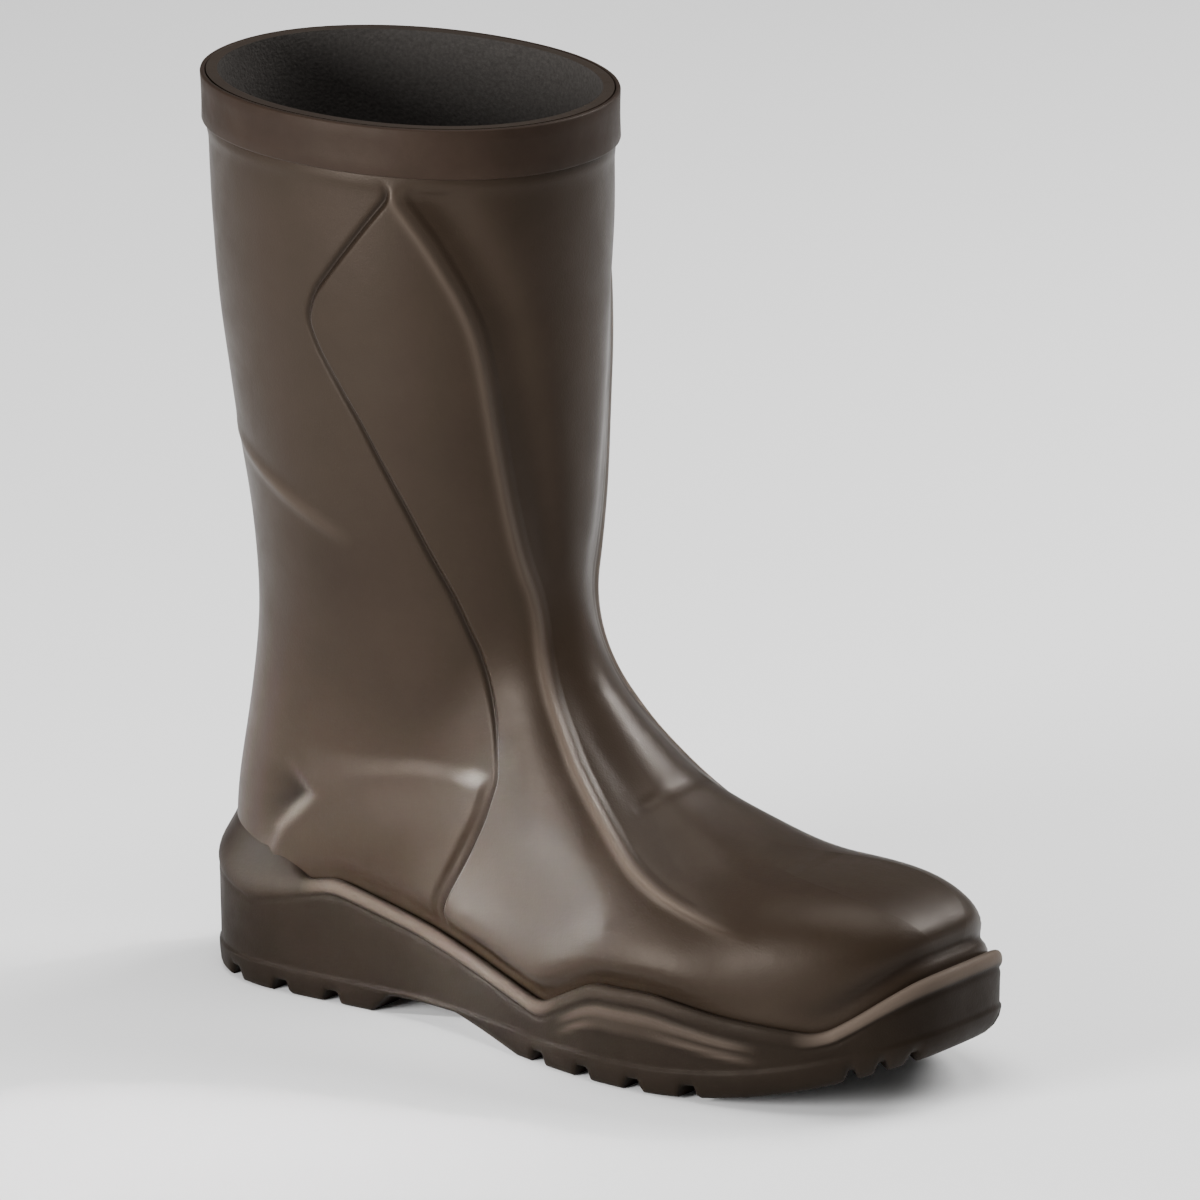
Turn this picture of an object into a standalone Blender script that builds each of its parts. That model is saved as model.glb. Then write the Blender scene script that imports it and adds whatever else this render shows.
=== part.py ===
"""Right safety wellington boot, moulded in polyurethane, standing on its sole.

The boot is worked out from a few driving sizes of its last. x runs from the heel to the toe, y to the
medial side (the lateral side of this right boot is at minus y) and z up from the floor. Sizes are in
millimetres, and make_object() turns them into metres.
"""

import math

import bmesh
import bpy
import numpy as np

MM = 0.001

# Driving sizes of the last and the sole
SOLE_LENGTH = 312.0
BALL_WIDTH = 112.0
INSTEP_HEIGHT = 104.0
COLLAR_HEIGHT = 332.0
HEEL_SEAT = 24.0
FOREFOOT_SEAT = 14.0
TOE_SPRING = 22.0
TOE_INFLARE = 7.0

# Where the sole changes along its length: end of the heel's seat, run of the shank, end of the flat tread
HEEL_SEAT_END = 78.0
SHANK_RUN = 95.0
FLAT_TREAD_END = 210.0
SPRING_POWER = 2.0
SEAT_SPRING = 0.70 * TOE_SPRING
INFLARE_START, INFLARE_POWER = 0.45, 1.6

# Thicknesses and clearances
WALL = 4.0
GAP = 0.35
CUP_GAP = 0.6
INSOLE_THICKNESS = 5.0
UPPER_INSET = 4.5
SHOULDER_Z = 36.0
BAND_HEIGHT = 18.0
BAND_THICKNESS = 1.8

# Raised side panels and heel counter: how far they stand out, and the groove between them
PANEL_RELIEF = 1.4
COUNTER_RELIEF = 1.1
GROOVE = 0.5
STEP_WIDTH = 1.0
RELIEF_CLEARANCE, RELIEF_FADE = 10.0, 4.0

# Sampling of the surfaces: points from heel to toe on each side, and rings from sole to collar
SIDE_POINTS = 38
BEHIND_PANEL, ON_PANEL, AHEAD_OF_PANEL = 12, 7, 13
OUTER_RINGS = 34
INNER_RINGS = 12
INNER_CROWDING = 1.4
PROFILE_POINTS = 600
PROFILE_EYE_X, PROFILE_EYE_Z = 110.0, 40.0
SETTLED_RINGS = 0.30


def table(columns, *rows):
    """The rows of a short table as one array for each named column."""
    return dict(zip(columns.split(), np.array(rows, float).T))


# Outline of the last: station along its length, half widths as shares of the ball width
PLAN = table(
    "station lateral medial",
    (0.00, 0.335, 0.335),
    (0.13, 0.345, 0.340),
    (0.33, 0.335, 0.285),
    (0.50, 0.430, 0.360),
    (0.63, 0.505, 0.450),
    (0.74, 0.500, 0.490),
    (0.86, 0.455, 0.470),
    (1.00, 0.400, 0.420),
)
HEEL_CAP, TOE_CAP = 0.125, 0.200
CAP_POWER = 2.25

# Foot of the last: height of its top line as a share of the instep height, and how full the section is
FOOT = table(
    "station top fullness",
    (0.00, 0.60, 2.0),
    (0.20, 0.80, 2.0),
    (0.34, 1.20, 2.0),
    (0.42, 1.42, 2.0),
    (0.47, 1.36, 2.0),
    (0.51, 1.200, 2.05),
    (0.54, 1.100, 2.1),
    (0.58, 0.985, 2.2),
    (0.62, 0.900, 2.3),
    (0.67, 0.824, 2.4),
    (0.74, 0.754, 2.5),
    (0.80, 0.736, 2.6),
    (0.86, 0.745, 2.7),
    (0.92, 0.765, 2.9),
    (1.00, 0.790, 3.2),
)

# Leg of the last: horizontal sections, with height as a share of the collar height
LEG = table(
    "height back front centre lateral medial power",
    (0.04, 5.0, 140.0, 42.0, 33.0, 32.5, 2.2),
    (0.12, 4.5, 140.0, 43.0, 34.0, 33.5, 2.2),
    (0.21, 6.5, 140.0, 46.0, 36.0, 35.0, 2.2),
    (0.31, 12.5, 140.5, 55.0, 39.0, 38.0, 2.15),
    (0.42, 16.0, 143.5, 68.0, 43.0, 42.0, 2.1),
    (0.53, 13.0, 148.0, 74.0, 48.0, 47.0, 2.1),
    (0.67, 5.0, 150.0, 76.0, 53.5, 53.0, 2.1),
    (0.83, -0.5, 150.0, 75.0, 58.5, 58.0, 2.1),
    (1.00, -2.5, 149.0, 74.0, 61.0, 60.5, 2.1),
)
BLEND = 0.60

# Top edge of the sole's side: heel ledge, bead falling to the waist, forefoot petal and toe bumper
EDGE = table(
    "station lateral medial",
    (0.000, 46.0, 46.0),
    (0.035, 44.0, 44.0),
    (0.115, 38.0, 39.0),
    (0.175, 43.0, 43.0),
    (0.225, 47.0, 46.0),
    (0.545, 23.0, 28.5),
    (0.580, 29.0, 27.5),
    (0.625, 36.5, 27.0),
    (0.700, 37.0, 26.5),
    (0.780, 33.0, 27.5),
    (0.860, 31.0, 30.0),
    (0.895, 30.0, 31.0),
    (0.925, 36.0, 36.0),
    (0.960, 45.0, 45.0),
    (0.985, 51.0, 51.0),
    (1.000, 52.0, 52.0),
)

# Section of the sole's side: heights above the tread or from the top edge, and offsets from the last
SIDE = table(
    "from_edge rise offset",
    (0, 0.0, 1.5),
    (0, 3.0, 3.6),
    (0, 9.0, 4.5),
    (0, 10.5, 3.8),
    (1, -8.0, 4.2),
    (1, -6.2, 3.5),
    (1, -4.6, 4.9),
    (1, -1.6, 5.2),
    (1, 0.0, 3.6),
)
SEAT_RINGS = 5

# Bevel of the tread's edge at the toe, and the height over which it runs out
TOE_BEVEL, BEVEL_HEIGHT = 5.0, 9.0

# Arch under the waist: the heel's breast and the rise of the tread behind the ball
ARCH = table(
    "x rise",
    (84.0, 0.0),
    (92.0, 7.5),
    (124.0, 8.0),
    (156.0, 0.0),
)

# Raised side panel: its rear edge with a groove beside it and its front edge, a ridge, from sole to collar
PANEL_REAR = table(
    "z x",
    (46.0, 117.0),
    (64.0, 126.0),
    (79.0, 133.5),
    (95.0, 138.0),
    (112.0, 134.0),
    (135.0, 127.0),
    (160.0, 120.0),
    (189.0, 108.0),
    (222.0, 92.0),
    (246.0, 77.0),
    (257.0, 72.5),
    (267.0, 76.0),
    (310.0, 106.0),
    (334.0, 88.0),
)
PANEL_FRONT = table(
    "z x",
    (55.0, 244.0),
    (66.0, 222.0),
    (79.0, 195.0),
    (94.0, 176.0),
    (112.0, 159.0),
    (134.0, 146.0),
    (162.0, 141.0),
    (212.0, 137.0),
    (250.0, 134.0),
    (266.0, 131.0),
    (290.0, 121.0),
    (310.0, 110.0),
    (334.0, 128.0),
)
PANEL_TOP = 302.0

# Heel counter: its top edge
COUNTER_TOP = table("x z", (5.0, 82.0), (54.0, 86.0), (98.0, 93.0), (135.0, 93.0))

# Tread: depths of its grooves, and the lugs along the edge of heel and forefoot
CHANNEL_DEPTH, NOTCH_DEPTH, INNER_NOTCH_DEPTH, CHEVRON_DEPTH = 5.0, 4.4, 3.8, 4.0
LUG_PITCH, NOTCH_WIDTH, NOTCH_START = 22.0, 6.5, 2.0
CHEVRON_WIDTH = 4.5
CHANNEL_STATIONS, CHEVRON_STATIONS = 8, 4
TREAD = table(
    "start end channel_inner channel_outer first_notch notches inner_notches",
    (34.0, 84.0, 0.48, 0.62, 20.0, 3, 0),
    (158.0, 250.0, 0.58, 0.71, 164.0, 4, 4),
)
TOE_CHEVRONS = table("apex reach slope", (256.0, 60.0, 0.85), (269.0, 52.0, 0.85), (282.0, 40.0, 0.85))
HEEL_CHEVRONS = table("apex reach slope", (35.0, 30.0, -1.15), (20.0, 22.0, -1.15))

# Insert of softer compound under the waist and ball: a lens, its stem and two arms under the heel
LENS = table(
    "x half",
    (68.0, 4.5),
    (84.0, 4.5),
    (92.0, 4.5),
    (106.0, 4.8),
    (118.0, 9.5),
    (140.0, 15.0),
    (156.0, 17.5),
    (190.0, 19.5),
    (215.0, 18.0),
    (235.0, 14.5),
    (246.0, 10.5),
)
ARM = table("inner_x inner_y outer_x outer_y", (58.0, 0.0, 68.0, 4.5), (24.0, 15.5, 29.0, 22.0))
INSERT_RECESS, INSERT_THICKNESS = 2.5, 3.5
BELOW = -6.0


def spline(knots, values, at):
    """Natural cubic spline through a table's column."""
    step = np.diff(knots)
    count = len(knots)
    system = np.eye(count)
    right = np.zeros(count)
    for i in range(1, count - 1):
        system[i, i - 1 : i + 2] = step[i - 1], 2 * (step[i - 1] + step[i]), step[i]
        right[i] = 6 * ((values[i + 1] - values[i]) / step[i] - (values[i] - values[i - 1]) / step[i - 1])
    bend = np.linalg.solve(system, right)
    at = np.clip(at, knots[0], knots[-1])
    i = np.clip(np.searchsorted(knots, at) - 1, 0, count - 2)
    h = step[i]
    low, high = (knots[i + 1] - at) / h, (at - knots[i]) / h
    straight = low * values[i] + high * values[i + 1]
    return straight + ((low**3 - low) * bend[i] + (high**3 - high) * bend[i + 1]) * h * h / 6


def column(rows, key, name, at):
    return spline(rows[key], rows[name], at)


def plan_side(station, medial):
    """Half width of the plan without its rounded ends, as a share of the ball width."""
    lateral_side = column(PLAN, "station", "lateral", station)
    return np.where(medial, column(PLAN, "station", "medial", station), lateral_side)


def end_rounding(station):
    """0 along the plan, growing as a power to 1 at its rounded heel and toe ends."""
    heel = np.clip(1 - station / HEEL_CAP, 0, None)
    toe = np.clip(1 - (1 - station) / TOE_CAP, 0, None)
    return heel**CAP_POWER + toe**CAP_POWER


def centre_line(x):
    """Sideways swing of the toe towards the medial side."""
    forward = np.clip((x / SOLE_LENGTH - INFLARE_START) / (1 - INFLARE_START), 0, 1)
    return TOE_INFLARE * forward**INFLARE_POWER


UPPER_LENGTH = SOLE_LENGTH - 2 * UPPER_INSET
UPPER_BALL = BALL_WIDTH - 2 * UPPER_INSET


def foot_level(x, y, z, medial):
    """Below 0 inside the foot: an arch over each station of the plan."""
    station = (x - UPPER_INSET) / UPPER_LENGTH
    full = column(FOOT, "station", "fullness", x / SOLE_LENGTH)
    top = INSTEP_HEIGHT * column(FOOT, "station", "top", x / SOLE_LENGTH)
    half = UPPER_BALL * plan_side(station, medial)
    rise = np.clip((z - SHOULDER_Z) / (top - SHOULDER_Z), 0, None)
    return (y / half) ** full + rise**full + end_rounding(station) - 1


def leg_level(x, y, z, medial):
    """Below 0 inside the leg: an egg-shaped section at each height."""
    height = np.clip(z / COLLAR_HEIGHT, LEG["height"][0], 1)
    back, front, centre, lateral_half, medial_half, power = (
        column(LEG, "height", name, height) for name in list(LEG)[1:]
    )
    half = np.where(medial, medial_half, lateral_half)
    reach = np.where(x < centre, centre - back, front - centre)
    return (y / half) ** power + np.abs((x - centre) / reach) ** power - 1


def boot_level(x, y, z, medial):
    """Below 0 inside the boot: the foot and the leg with a soft fillet between them."""
    foot, leg = foot_level(x, y, z, medial), leg_level(x, y, z, medial)
    meet = np.clip(BLEND - np.abs(foot - leg), 0, None) / BLEND
    return np.minimum(foot, leg) - meet**2 * BLEND / 4


def bisect(level, inside, outside, rounds=44):
    """Where a level passes 0 between arrays of places inside and outside."""
    for _ in range(rounds):
        middle = (inside + outside) / 2
        below = level(middle) < 0
        inside, outside = np.where(below, middle, inside), np.where(below, outside, middle)
    return inside


def half_width(x, z, medial):
    """Half width of the boot at a place in its side view, 0 outside its silhouette."""
    x, z, medial = np.broadcast_arrays(x, z, medial)
    return bisect(lambda y: boot_level(x, y, z, medial), np.zeros(x.shape), np.full(x.shape, BALL_WIDTH))


def back_and_front(z):
    """x of the boot's back and front at heights z, in the side view."""
    z = np.asarray(z, float)
    inside = np.full(z.shape, PROFILE_EYE_X)
    beyond = (inside - SOLE_LENGTH, inside + SOLE_LENGTH)
    return [bisect(lambda x: boot_level(x, 0 * x, z, True), inside, end) for end in beyond]


def across(z, share):
    """x at a share of the way from the boot's back to its front, at heights z."""
    back, front = back_and_front(z)
    return back + (front - back) * share


def outward(x, y, z, medial):
    """Unit normals of the boot's surface from the slope of its level."""
    step = 0.05
    slope = np.stack(
        [
            boot_level(x + step, y, z, medial) - boot_level(x - step, y, z, medial),
            boot_level(x, y + step, z, medial) - boot_level(x, np.abs(y - step), z, medial),
            boot_level(x, y, z + step, medial) - boot_level(x, y, z - step, medial),
        ],
        -1,
    )
    return slope / np.maximum(np.linalg.norm(slope, axis=-1, keepdims=True), 1e-9)


def on_form(x, z, medial, offset):
    """Points of the boot's form at places in its side view, moved out along its normals."""
    y = half_width(x, z, medial)
    normal = outward(x, y, z, medial)
    normal[..., 1] *= y > 0.01
    normal /= np.maximum(np.linalg.norm(normal, axis=-1, keepdims=True), 1e-9)
    point = np.stack([x, y, z], -1) + np.asarray(offset)[..., None] * normal
    point[..., 1] = point[..., 1] * (1 if medial else -1) + centre_line(point[..., 0])
    return point


def closed_loops(lateral, medial):
    """Loops around the boot: along the lateral side to the toe and back along the medial side."""
    return np.concatenate([lateral, medial[:, -2:0:-1]], axis=1)


def smooth_step(value):
    value = np.clip(value, 0, 1)
    return value * value * (3 - 2 * value)


def toe_rise(x):
    """0 along the flat tread, growing to 1 at the toe."""
    return np.clip((x - FLAT_TREAD_END) / (SOLE_LENGTH - FLAT_TREAD_END), 0, 1) ** SPRING_POWER


def footbed(x):
    """Height of the sole's seat under the insole: heel lift, then the toe spring."""
    drop = smooth_step((x - HEEL_SEAT_END) / SHANK_RUN)
    return HEEL_SEAT + (FOREFOOT_SEAT - HEEL_SEAT) * drop + SEAT_SPRING * toe_rise(x)


def sole_bottom(x):
    """Height of the tread without its arch: flat, with a toe spring."""
    return TOE_SPRING * toe_rise(x)


def tread_level(x):
    """Height of the tread with its arch."""
    return np.maximum(sole_bottom(x), np.interp(x, ARCH["x"], ARCH["rise"]))


def even_stations(count):
    """Places from heel to toe, as shares, that stand evenly along the foot's lateral edge."""
    share = (1 - np.cos(np.linspace(0, math.pi, 2001))) / 2
    seat = np.full(share.shape, HEEL_SEAT)
    x = across(seat, share)
    y = half_width(x, seat, False)
    run = np.concatenate([[0], np.cumsum(np.hypot(np.diff(x), np.diff(y)))])
    return np.interp(np.linspace(0, run[-1], count + 1), run, share)


def profile_ends(rings):
    """Back and front ends of each ring in the side view, at even shares of the two profiles."""
    eye_x, eye_z = PROFILE_EYE_X, PROFILE_EYE_Z
    dense = np.linspace(0, 1, PROFILE_POINTS)
    toe_x = SOLE_LENGTH - UPPER_INSET
    toe_angle = math.atan2(footbed(toe_x) + GAP - eye_z, toe_x - eye_x)
    collar_angle = math.atan2(COLLAR_HEIGHT - eye_z, LEG["front"][-1] - eye_x)
    angle = toe_angle + (collar_angle - toe_angle) * dense
    run, rise = np.cos(angle), np.sin(angle)
    start, limit = np.zeros(PROFILE_POINTS), np.full(PROFILE_POINTS, COLLAR_HEIGHT)
    reach = bisect(lambda r: boot_level(eye_x + r * run, 0 * r, eye_z + r * rise, True), start, limit)
    over = eye_z + reach * rise > COLLAR_HEIGHT
    reach[over] = (COLLAR_HEIGHT - eye_z) / rise[over]
    front = np.stack([eye_x + reach * run, eye_z + reach * rise], 1)
    back_z = HEEL_SEAT + GAP + (COLLAR_HEIGHT - HEEL_SEAT - GAP) * dense
    back = np.stack([back_and_front(back_z)[0], back_z], 1)
    ends = []
    for line in (back, front):
        length = np.concatenate([[0], np.cumsum(np.linalg.norm(np.diff(line, axis=0), axis=1))])
        places = np.interp(rings, length / length[-1], dense)
        ends.append(np.stack([np.interp(places, dense, line[:, k]) for k in (0, 1)], 1))
    return ends


def ring_lines(rings, shares):
    """Side view of the upper's rings: x and z at shares of their length, the lowest along the footbed."""
    back, front = profile_ends(rings)
    x = back[:, :1] + (front[:, :1] - back[:, :1]) * shares
    z = back[:, 1:] + (front[:, 1:] - back[:, 1:]) * shares
    chord = HEEL_SEAT + (footbed(SOLE_LENGTH - UPPER_INSET) - HEEL_SEAT) * shares
    settle = np.clip(1 - rings[:, None] / SETTLED_RINGS, 0, 1) ** 2
    return x, z + (footbed(x) - chord) * settle


def panel_share(rings, edge):
    """Share of each ring at which it crosses an edge of the side panel."""

    def ahead_of_edge(share):
        x, z = ring_lines(rings, share)
        return x - np.interp(z, edge["z"], edge["x"])

    ends = np.zeros((len(rings), 1))
    return bisect(ahead_of_edge, ends, ends + 1)


def upper_shares(rings):
    """Shares of each ring at its points: behind the side panel, on it and ahead of it."""
    rear, front = panel_share(rings, PANEL_REAR), panel_share(rings, PANEL_FRONT)
    back_end, front_end = profile_ends(rings)
    step = STEP_WIDTH / (front_end[:, :1] - back_end[:, :1])
    behind = rear * (1 - np.cos(np.linspace(0, math.pi / 2, BEHIND_PANEL + 1)))
    on_panel = rear + step + (front - rear - 2 * step) * np.linspace(0, 1, ON_PANEL + 1)
    ahead = front + (1 - front) * np.sin(np.linspace(0, math.pi / 2, AHEAD_OF_PANEL + 1))
    return np.concatenate([behind, on_panel, ahead], axis=1)


def sole_edge(x, medial):
    """Height of the top edge of the sole's side."""
    return np.interp(x / SOLE_LENGTH, EDGE["station"], EDGE["medial" if medial else "lateral"])


def relief(x, z, medial):
    """How far the upper's points stand out from its form: counter, groove and side panel."""
    rise = smooth_step((z - sole_edge(x, medial) - RELIEF_CLEARANCE) / RELIEF_FADE)
    height = np.zeros(x.shape)
    top = np.interp(x, COUNTER_TOP["x"], COUNTER_TOP["z"])
    height[:, :BEHIND_PANEL] = (COUNTER_RELIEF * smooth_step((top - z) / RELIEF_FADE))[:, :BEHIND_PANEL]
    height[:, BEHIND_PANEL] = np.where(z[:, BEHIND_PANEL] < PANEL_TOP, -GROOVE, 0)
    panel = slice(BEHIND_PANEL + 1, BEHIND_PANEL + ON_PANEL + 2)
    height[:, panel] = np.where(z[:, panel] < PANEL_TOP, PANEL_RELIEF, 0)
    return height * rise


def tube_faces(loops, around, closed):
    """Quads between loops that follow each other, and from the last back to the first when closed."""
    faces = []
    for a in range(loops if closed else loops - 1):
        b = (a + 1) % loops
        for i in range(around):
            j = (i + 1) % around
            faces.append((a * around + i, a * around + j, b * around + j, b * around + i))
    return faces


def cap_faces(around, first):
    """Strips across one closed loop, between its lateral and medial halves."""
    half = around // 2
    faces = [(first, first + 1, first + around - 1), (first + half - 1, first + half, first + half + 1)]
    for i in range(1, half - 1):
        faces.append((first + i, first + i + 1, first + around - i - 1, first + around - i))
    return faces


def grid_faces(rows, columns):
    faces = []
    for r in range(rows - 1):
        for c in range(columns - 1):
            a = r * columns + c
            faces.append((a, a + 1, a + columns + 1, a + columns))
    return faces


def slab(low, high, faces):
    """Points and faces of a closed slab between two sets of points that share their faces."""
    count = len(low)
    edges = {}
    for face in faces:
        for a, b in zip(face, face[1:] + face[:1]):
            edges[frozenset((a, b))] = None if frozenset((a, b)) in edges else (a, b)
    sides = [(e[0], e[1], e[1] + count, e[0] + count) for e in edges.values() if e]
    tops = [tuple(i + count for i in reversed(face)) for face in faces]
    return np.concatenate([low, high]), faces + tops + sides


def make_material(name, colour, roughness):
    material = bpy.data.materials.new(name)
    material.use_nodes = True
    shader = material.node_tree.nodes["Principled BSDF"]
    shader.inputs["Base Color"].default_value = (*colour, 1)
    shader.inputs["Roughness"].default_value = roughness
    shader.inputs["Metallic"].default_value = 0
    return material


def make_object(name, points, faces, material=None):
    """A mesh object; without a material it is a cutter."""
    mesh = bpy.data.meshes.new(name)
    mesh.from_pydata((np.asarray(points) * MM).tolist(), [], faces)
    work = bmesh.new()
    work.from_mesh(mesh)
    bmesh.ops.recalc_face_normals(work, faces=work.faces[:])
    work.to_mesh(mesh)
    work.free()
    thing = bpy.data.objects.new(name, mesh)
    bpy.context.scene.collection.objects.link(thing)
    if material:
        mesh.materials.append(material)
        mesh.shade_smooth()
        mesh.set_sharp_from_angle(angle=math.radians(32))
    else:
        thing.hide_render = True
        thing.display_type = "WIRE"
    return thing


def cut(thing, cutter):
    step = thing.modifiers.new(cutter.name, "BOOLEAN")
    step.operation = "DIFFERENCE"
    step.object = cutter


def make_upper(material):
    """Hollow upper, open at the collar and underneath, with raised side panels and heel counter."""
    outer_rings = np.linspace(0, 1, OUTER_RINGS + 1)
    x, z = ring_lines(outer_rings, upper_shares(outer_rings))
    outer = closed_loops(*(on_form(x, z, side, relief(x, z, side)) for side in (False, True)))
    inner_rings = np.linspace(1, 0, INNER_RINGS + 1) ** INNER_CROWDING
    x, z = ring_lines(inner_rings, upper_shares(inner_rings))
    inner = closed_loops(*(on_form(x, z, side, np.full(x.shape, -WALL)) for side in (False, True)))
    inner[0, :, 2] = outer[-1, :, 2]
    inner[-1, :, 2] = outer[0, :, 2]
    loops = np.concatenate([outer, inner])
    faces = tube_faces(len(loops), loops.shape[1], True)
    return make_object("upper", loops.reshape(-1, 3), faces, material)


def sole_side(stations, medial):
    """One side of the sole: from the tread's edge up its outer face, over the rim and down to the seat."""
    plan_x = UPPER_INSET + UPPER_LENGTH * stations
    edge = sole_edge(plan_x, medial)
    base = np.where(SIDE["from_edge"][:, None] > 0, edge, sole_bottom(plan_x))
    outside = base + SIDE["rise"][:, None]
    inside = edge + (footbed(plan_x) - edge) * np.linspace(0, 1, SEAT_RINGS)[:, None]
    z = np.concatenate([outside, inside])
    offset = np.concatenate([SIDE["offset"], np.full(SEAT_RINGS, CUP_GAP)])
    bevel = TOE_BEVEL * np.clip(1 - (z - sole_bottom(plan_x)) / BEVEL_HEIGHT, 0, 1) ** 2 * toe_rise(plan_x)
    return on_form(across(z, stations), z, medial, offset[:, None] - bevel)


def plan_slab(name, points, faces, high):
    """Cutter under the sole: a plan outline from below the floor up to a height at each point."""
    points = np.asarray(points, float)
    points[:, 1] += centre_line(points[:, 0])
    low = np.column_stack([points, np.full(len(points), BELOW)])
    return make_object(name, *slab(low, np.column_stack([points, high]), faces))


def rectangles(boxes):
    """Points and faces of plan rectangles given by their lowest and highest x and y."""
    points = [p for x0, x1, y0, y1 in boxes for p in ((x0, y0), (x1, y0), (x1, y1), (x0, y1))]
    return points, [tuple(range(4 * i, 4 * i + 4)) for i in range(len(boxes))]


def tread_half(x):
    """Half width of the tread on its narrower side."""
    z = np.full(np.shape(x), HEEL_SEAT)
    return np.minimum(half_width(x, z, False), half_width(x, z, True)) + UPPER_INSET


def channel_cutter():
    """Grooves along heel and forefoot between the outer and the inner lugs."""
    points, faces = [], []
    columns = ("start", "end", "channel_inner", "channel_outer")
    for start, end, inner, outer in zip(*(TREAD[name] for name in columns)):
        x = np.linspace(start, end, CHANNEL_STATIONS)
        half = tread_half(x)
        for side in (-1, 1):
            first = len(points)
            points += [(a, side * h * share) for a, h in zip(x, half) for share in (inner, outer)]
            faces += [tuple(first + i for i in face) for face in grid_faces(len(x), 2)]
    return plan_slab("channels", points, faces, sole_bottom(np.array(points)[:, 0]) + CHANNEL_DEPTH)


def notch_cutters():
    """Gaps between the outer lugs, and between the inner lugs beside the insert."""
    outer_boxes, inner_boxes = [], []
    columns = ("channel_inner", "channel_outer", "first_notch", "notches", "inner_notches")
    for inner, outer, first, count, inner_count in zip(*(TREAD[name] for name in columns)):
        for k in range(int(count)):
            x = first + k * LUG_PITCH
            channel = float(tread_half(x)) * (inner + outer) / 2
            for side in (-1, 1):
                reach = sorted((side * channel, side * BALL_WIDTH))
                outer_boxes.append((x, x + NOTCH_WIDTH, *reach))
                if k < inner_count:
                    between = x + LUG_PITCH / 2
                    reach = sorted((side * NOTCH_START, side * channel))
                    inner_boxes.append((between, between + NOTCH_WIDTH, *reach))
    kinds = (("outer_notches", outer_boxes, NOTCH_DEPTH), ("inner_notches", inner_boxes, INNER_NOTCH_DEPTH))
    for name, boxes, depth in kinds:
        points, faces = rectangles(boxes)
        yield plan_slab(name, points, faces, sole_bottom(np.array(points)[:, 0]) + depth)


def chevron_cutter(name, chevrons):
    """Nested V grooves whose arms run from an apex on the centre line out through the sole's edge."""
    points, faces = [], []
    for apex, reach, slope in zip(*chevrons.values()):
        first = len(points)
        y = np.linspace(-reach, reach, 2 * CHEVRON_STATIONS + 1)
        for a in y:
            points += [(apex + slope * abs(a), a), (apex + slope * abs(a) + CHEVRON_WIDTH, a)]
        faces += [tuple(first + i for i in face) for face in grid_faces(len(y), 2)]
    depth = sole_bottom(np.array(points)[:, 0]) + CHEVRON_DEPTH
    return plan_slab(name, points, faces, depth)


def insert_plan(grow):
    """Plan of the insert: pairs of points along lens and stem, then two arms that share its end."""
    half = LENS["half"] + grow
    x = LENS["x"].copy()
    x[-1] += grow
    points = [p for a, h in zip(x, half) for p in ((a, -h), (a, h))]
    faces = grid_faces(len(x), 2)
    crotch = len(points)
    points.append((ARM["inner_x"][0] - grow, 0.0))
    for side, corner in ((-1, 0), (1, 1)):
        end = len(points)
        points.append((ARM["inner_x"][1] - grow, side * (ARM["inner_y"][1] - grow)))
        points.append((ARM["outer_x"][1] - grow, side * (ARM["outer_y"][1] + grow)))
        faces.append((crotch, end, end + 1, corner))
    faces.append((crotch, 0, 1))
    return np.array(points), faces


def make_insert(material):
    points, faces = insert_plan(0.0)
    low = tread_level(points[:, 0]) + INSERT_RECESS
    points[:, 1] += centre_line(points[:, 0])
    low, high = np.column_stack([points, low]), np.column_stack([points, low + INSERT_THICKNESS])
    return make_object("tread_insert", *slab(low, high, faces), material)


def insert_pocket():
    points, faces = insert_plan(GAP)
    ceiling = tread_level(points[:, 0]) + INSERT_RECESS + INSERT_THICKNESS + GAP
    return plan_slab("pocket", points, faces, ceiling)


def arch_cutter():
    """Space under the waist, across the whole sole."""
    outline = [(ARCH["x"][0], BELOW), *zip(ARCH["x"], ARCH["rise"]), (ARCH["x"][-1], BELOW)]
    near, far = (np.array([(x, side * BALL_WIDTH, z) for x, z in outline]) for side in (-1, 1))
    return make_object("arch", *slab(near, far, [tuple(range(len(outline)))]))


def make_outsole(stations, material):
    """Cup sole with its seat, bead, arch, lugs and the pocket of the insert."""
    edge_marks = np.clip((SOLE_LENGTH * EDGE["station"] - UPPER_INSET) / UPPER_LENGTH, 0, 1)
    marks = np.unique(np.round(np.concatenate([stations, edge_marks]), 4))
    loops = closed_loops(sole_side(marks, False), sole_side(marks, True))
    around = loops.shape[1]
    faces = tube_faces(len(loops), around, False)
    faces += cap_faces(around, 0) + cap_faces(around, (len(loops) - 1) * around)
    outsole = make_object("outsole", loops.reshape(-1, 3), faces, material)
    cutters = [arch_cutter(), channel_cutter(), *notch_cutters(), insert_pocket()]
    cutters += [chevron_cutter("toe_chevrons", TOE_CHEVRONS), chevron_cutter("heel_chevrons", HEEL_CHEVRONS)]
    for cutter in cutters:
        cut(outsole, cutter)
    return outsole


def make_insole(stations, material):
    bed = footbed(UPPER_INSET + UPPER_LENGTH * stations)[None, :] + GAP
    layers = []
    for z in (bed, bed + INSOLE_THICKNESS):
        inset = np.full(z.shape, -WALL - 2 * GAP)
        lateral, medial = (on_form(across(z, stations), z, side, inset) for side in (False, True))
        layers.append(closed_loops(lateral, medial).reshape(-1, 3))
    return make_object("insole", *slab(*layers, cap_faces(len(layers[0]), 0)), material)


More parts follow.
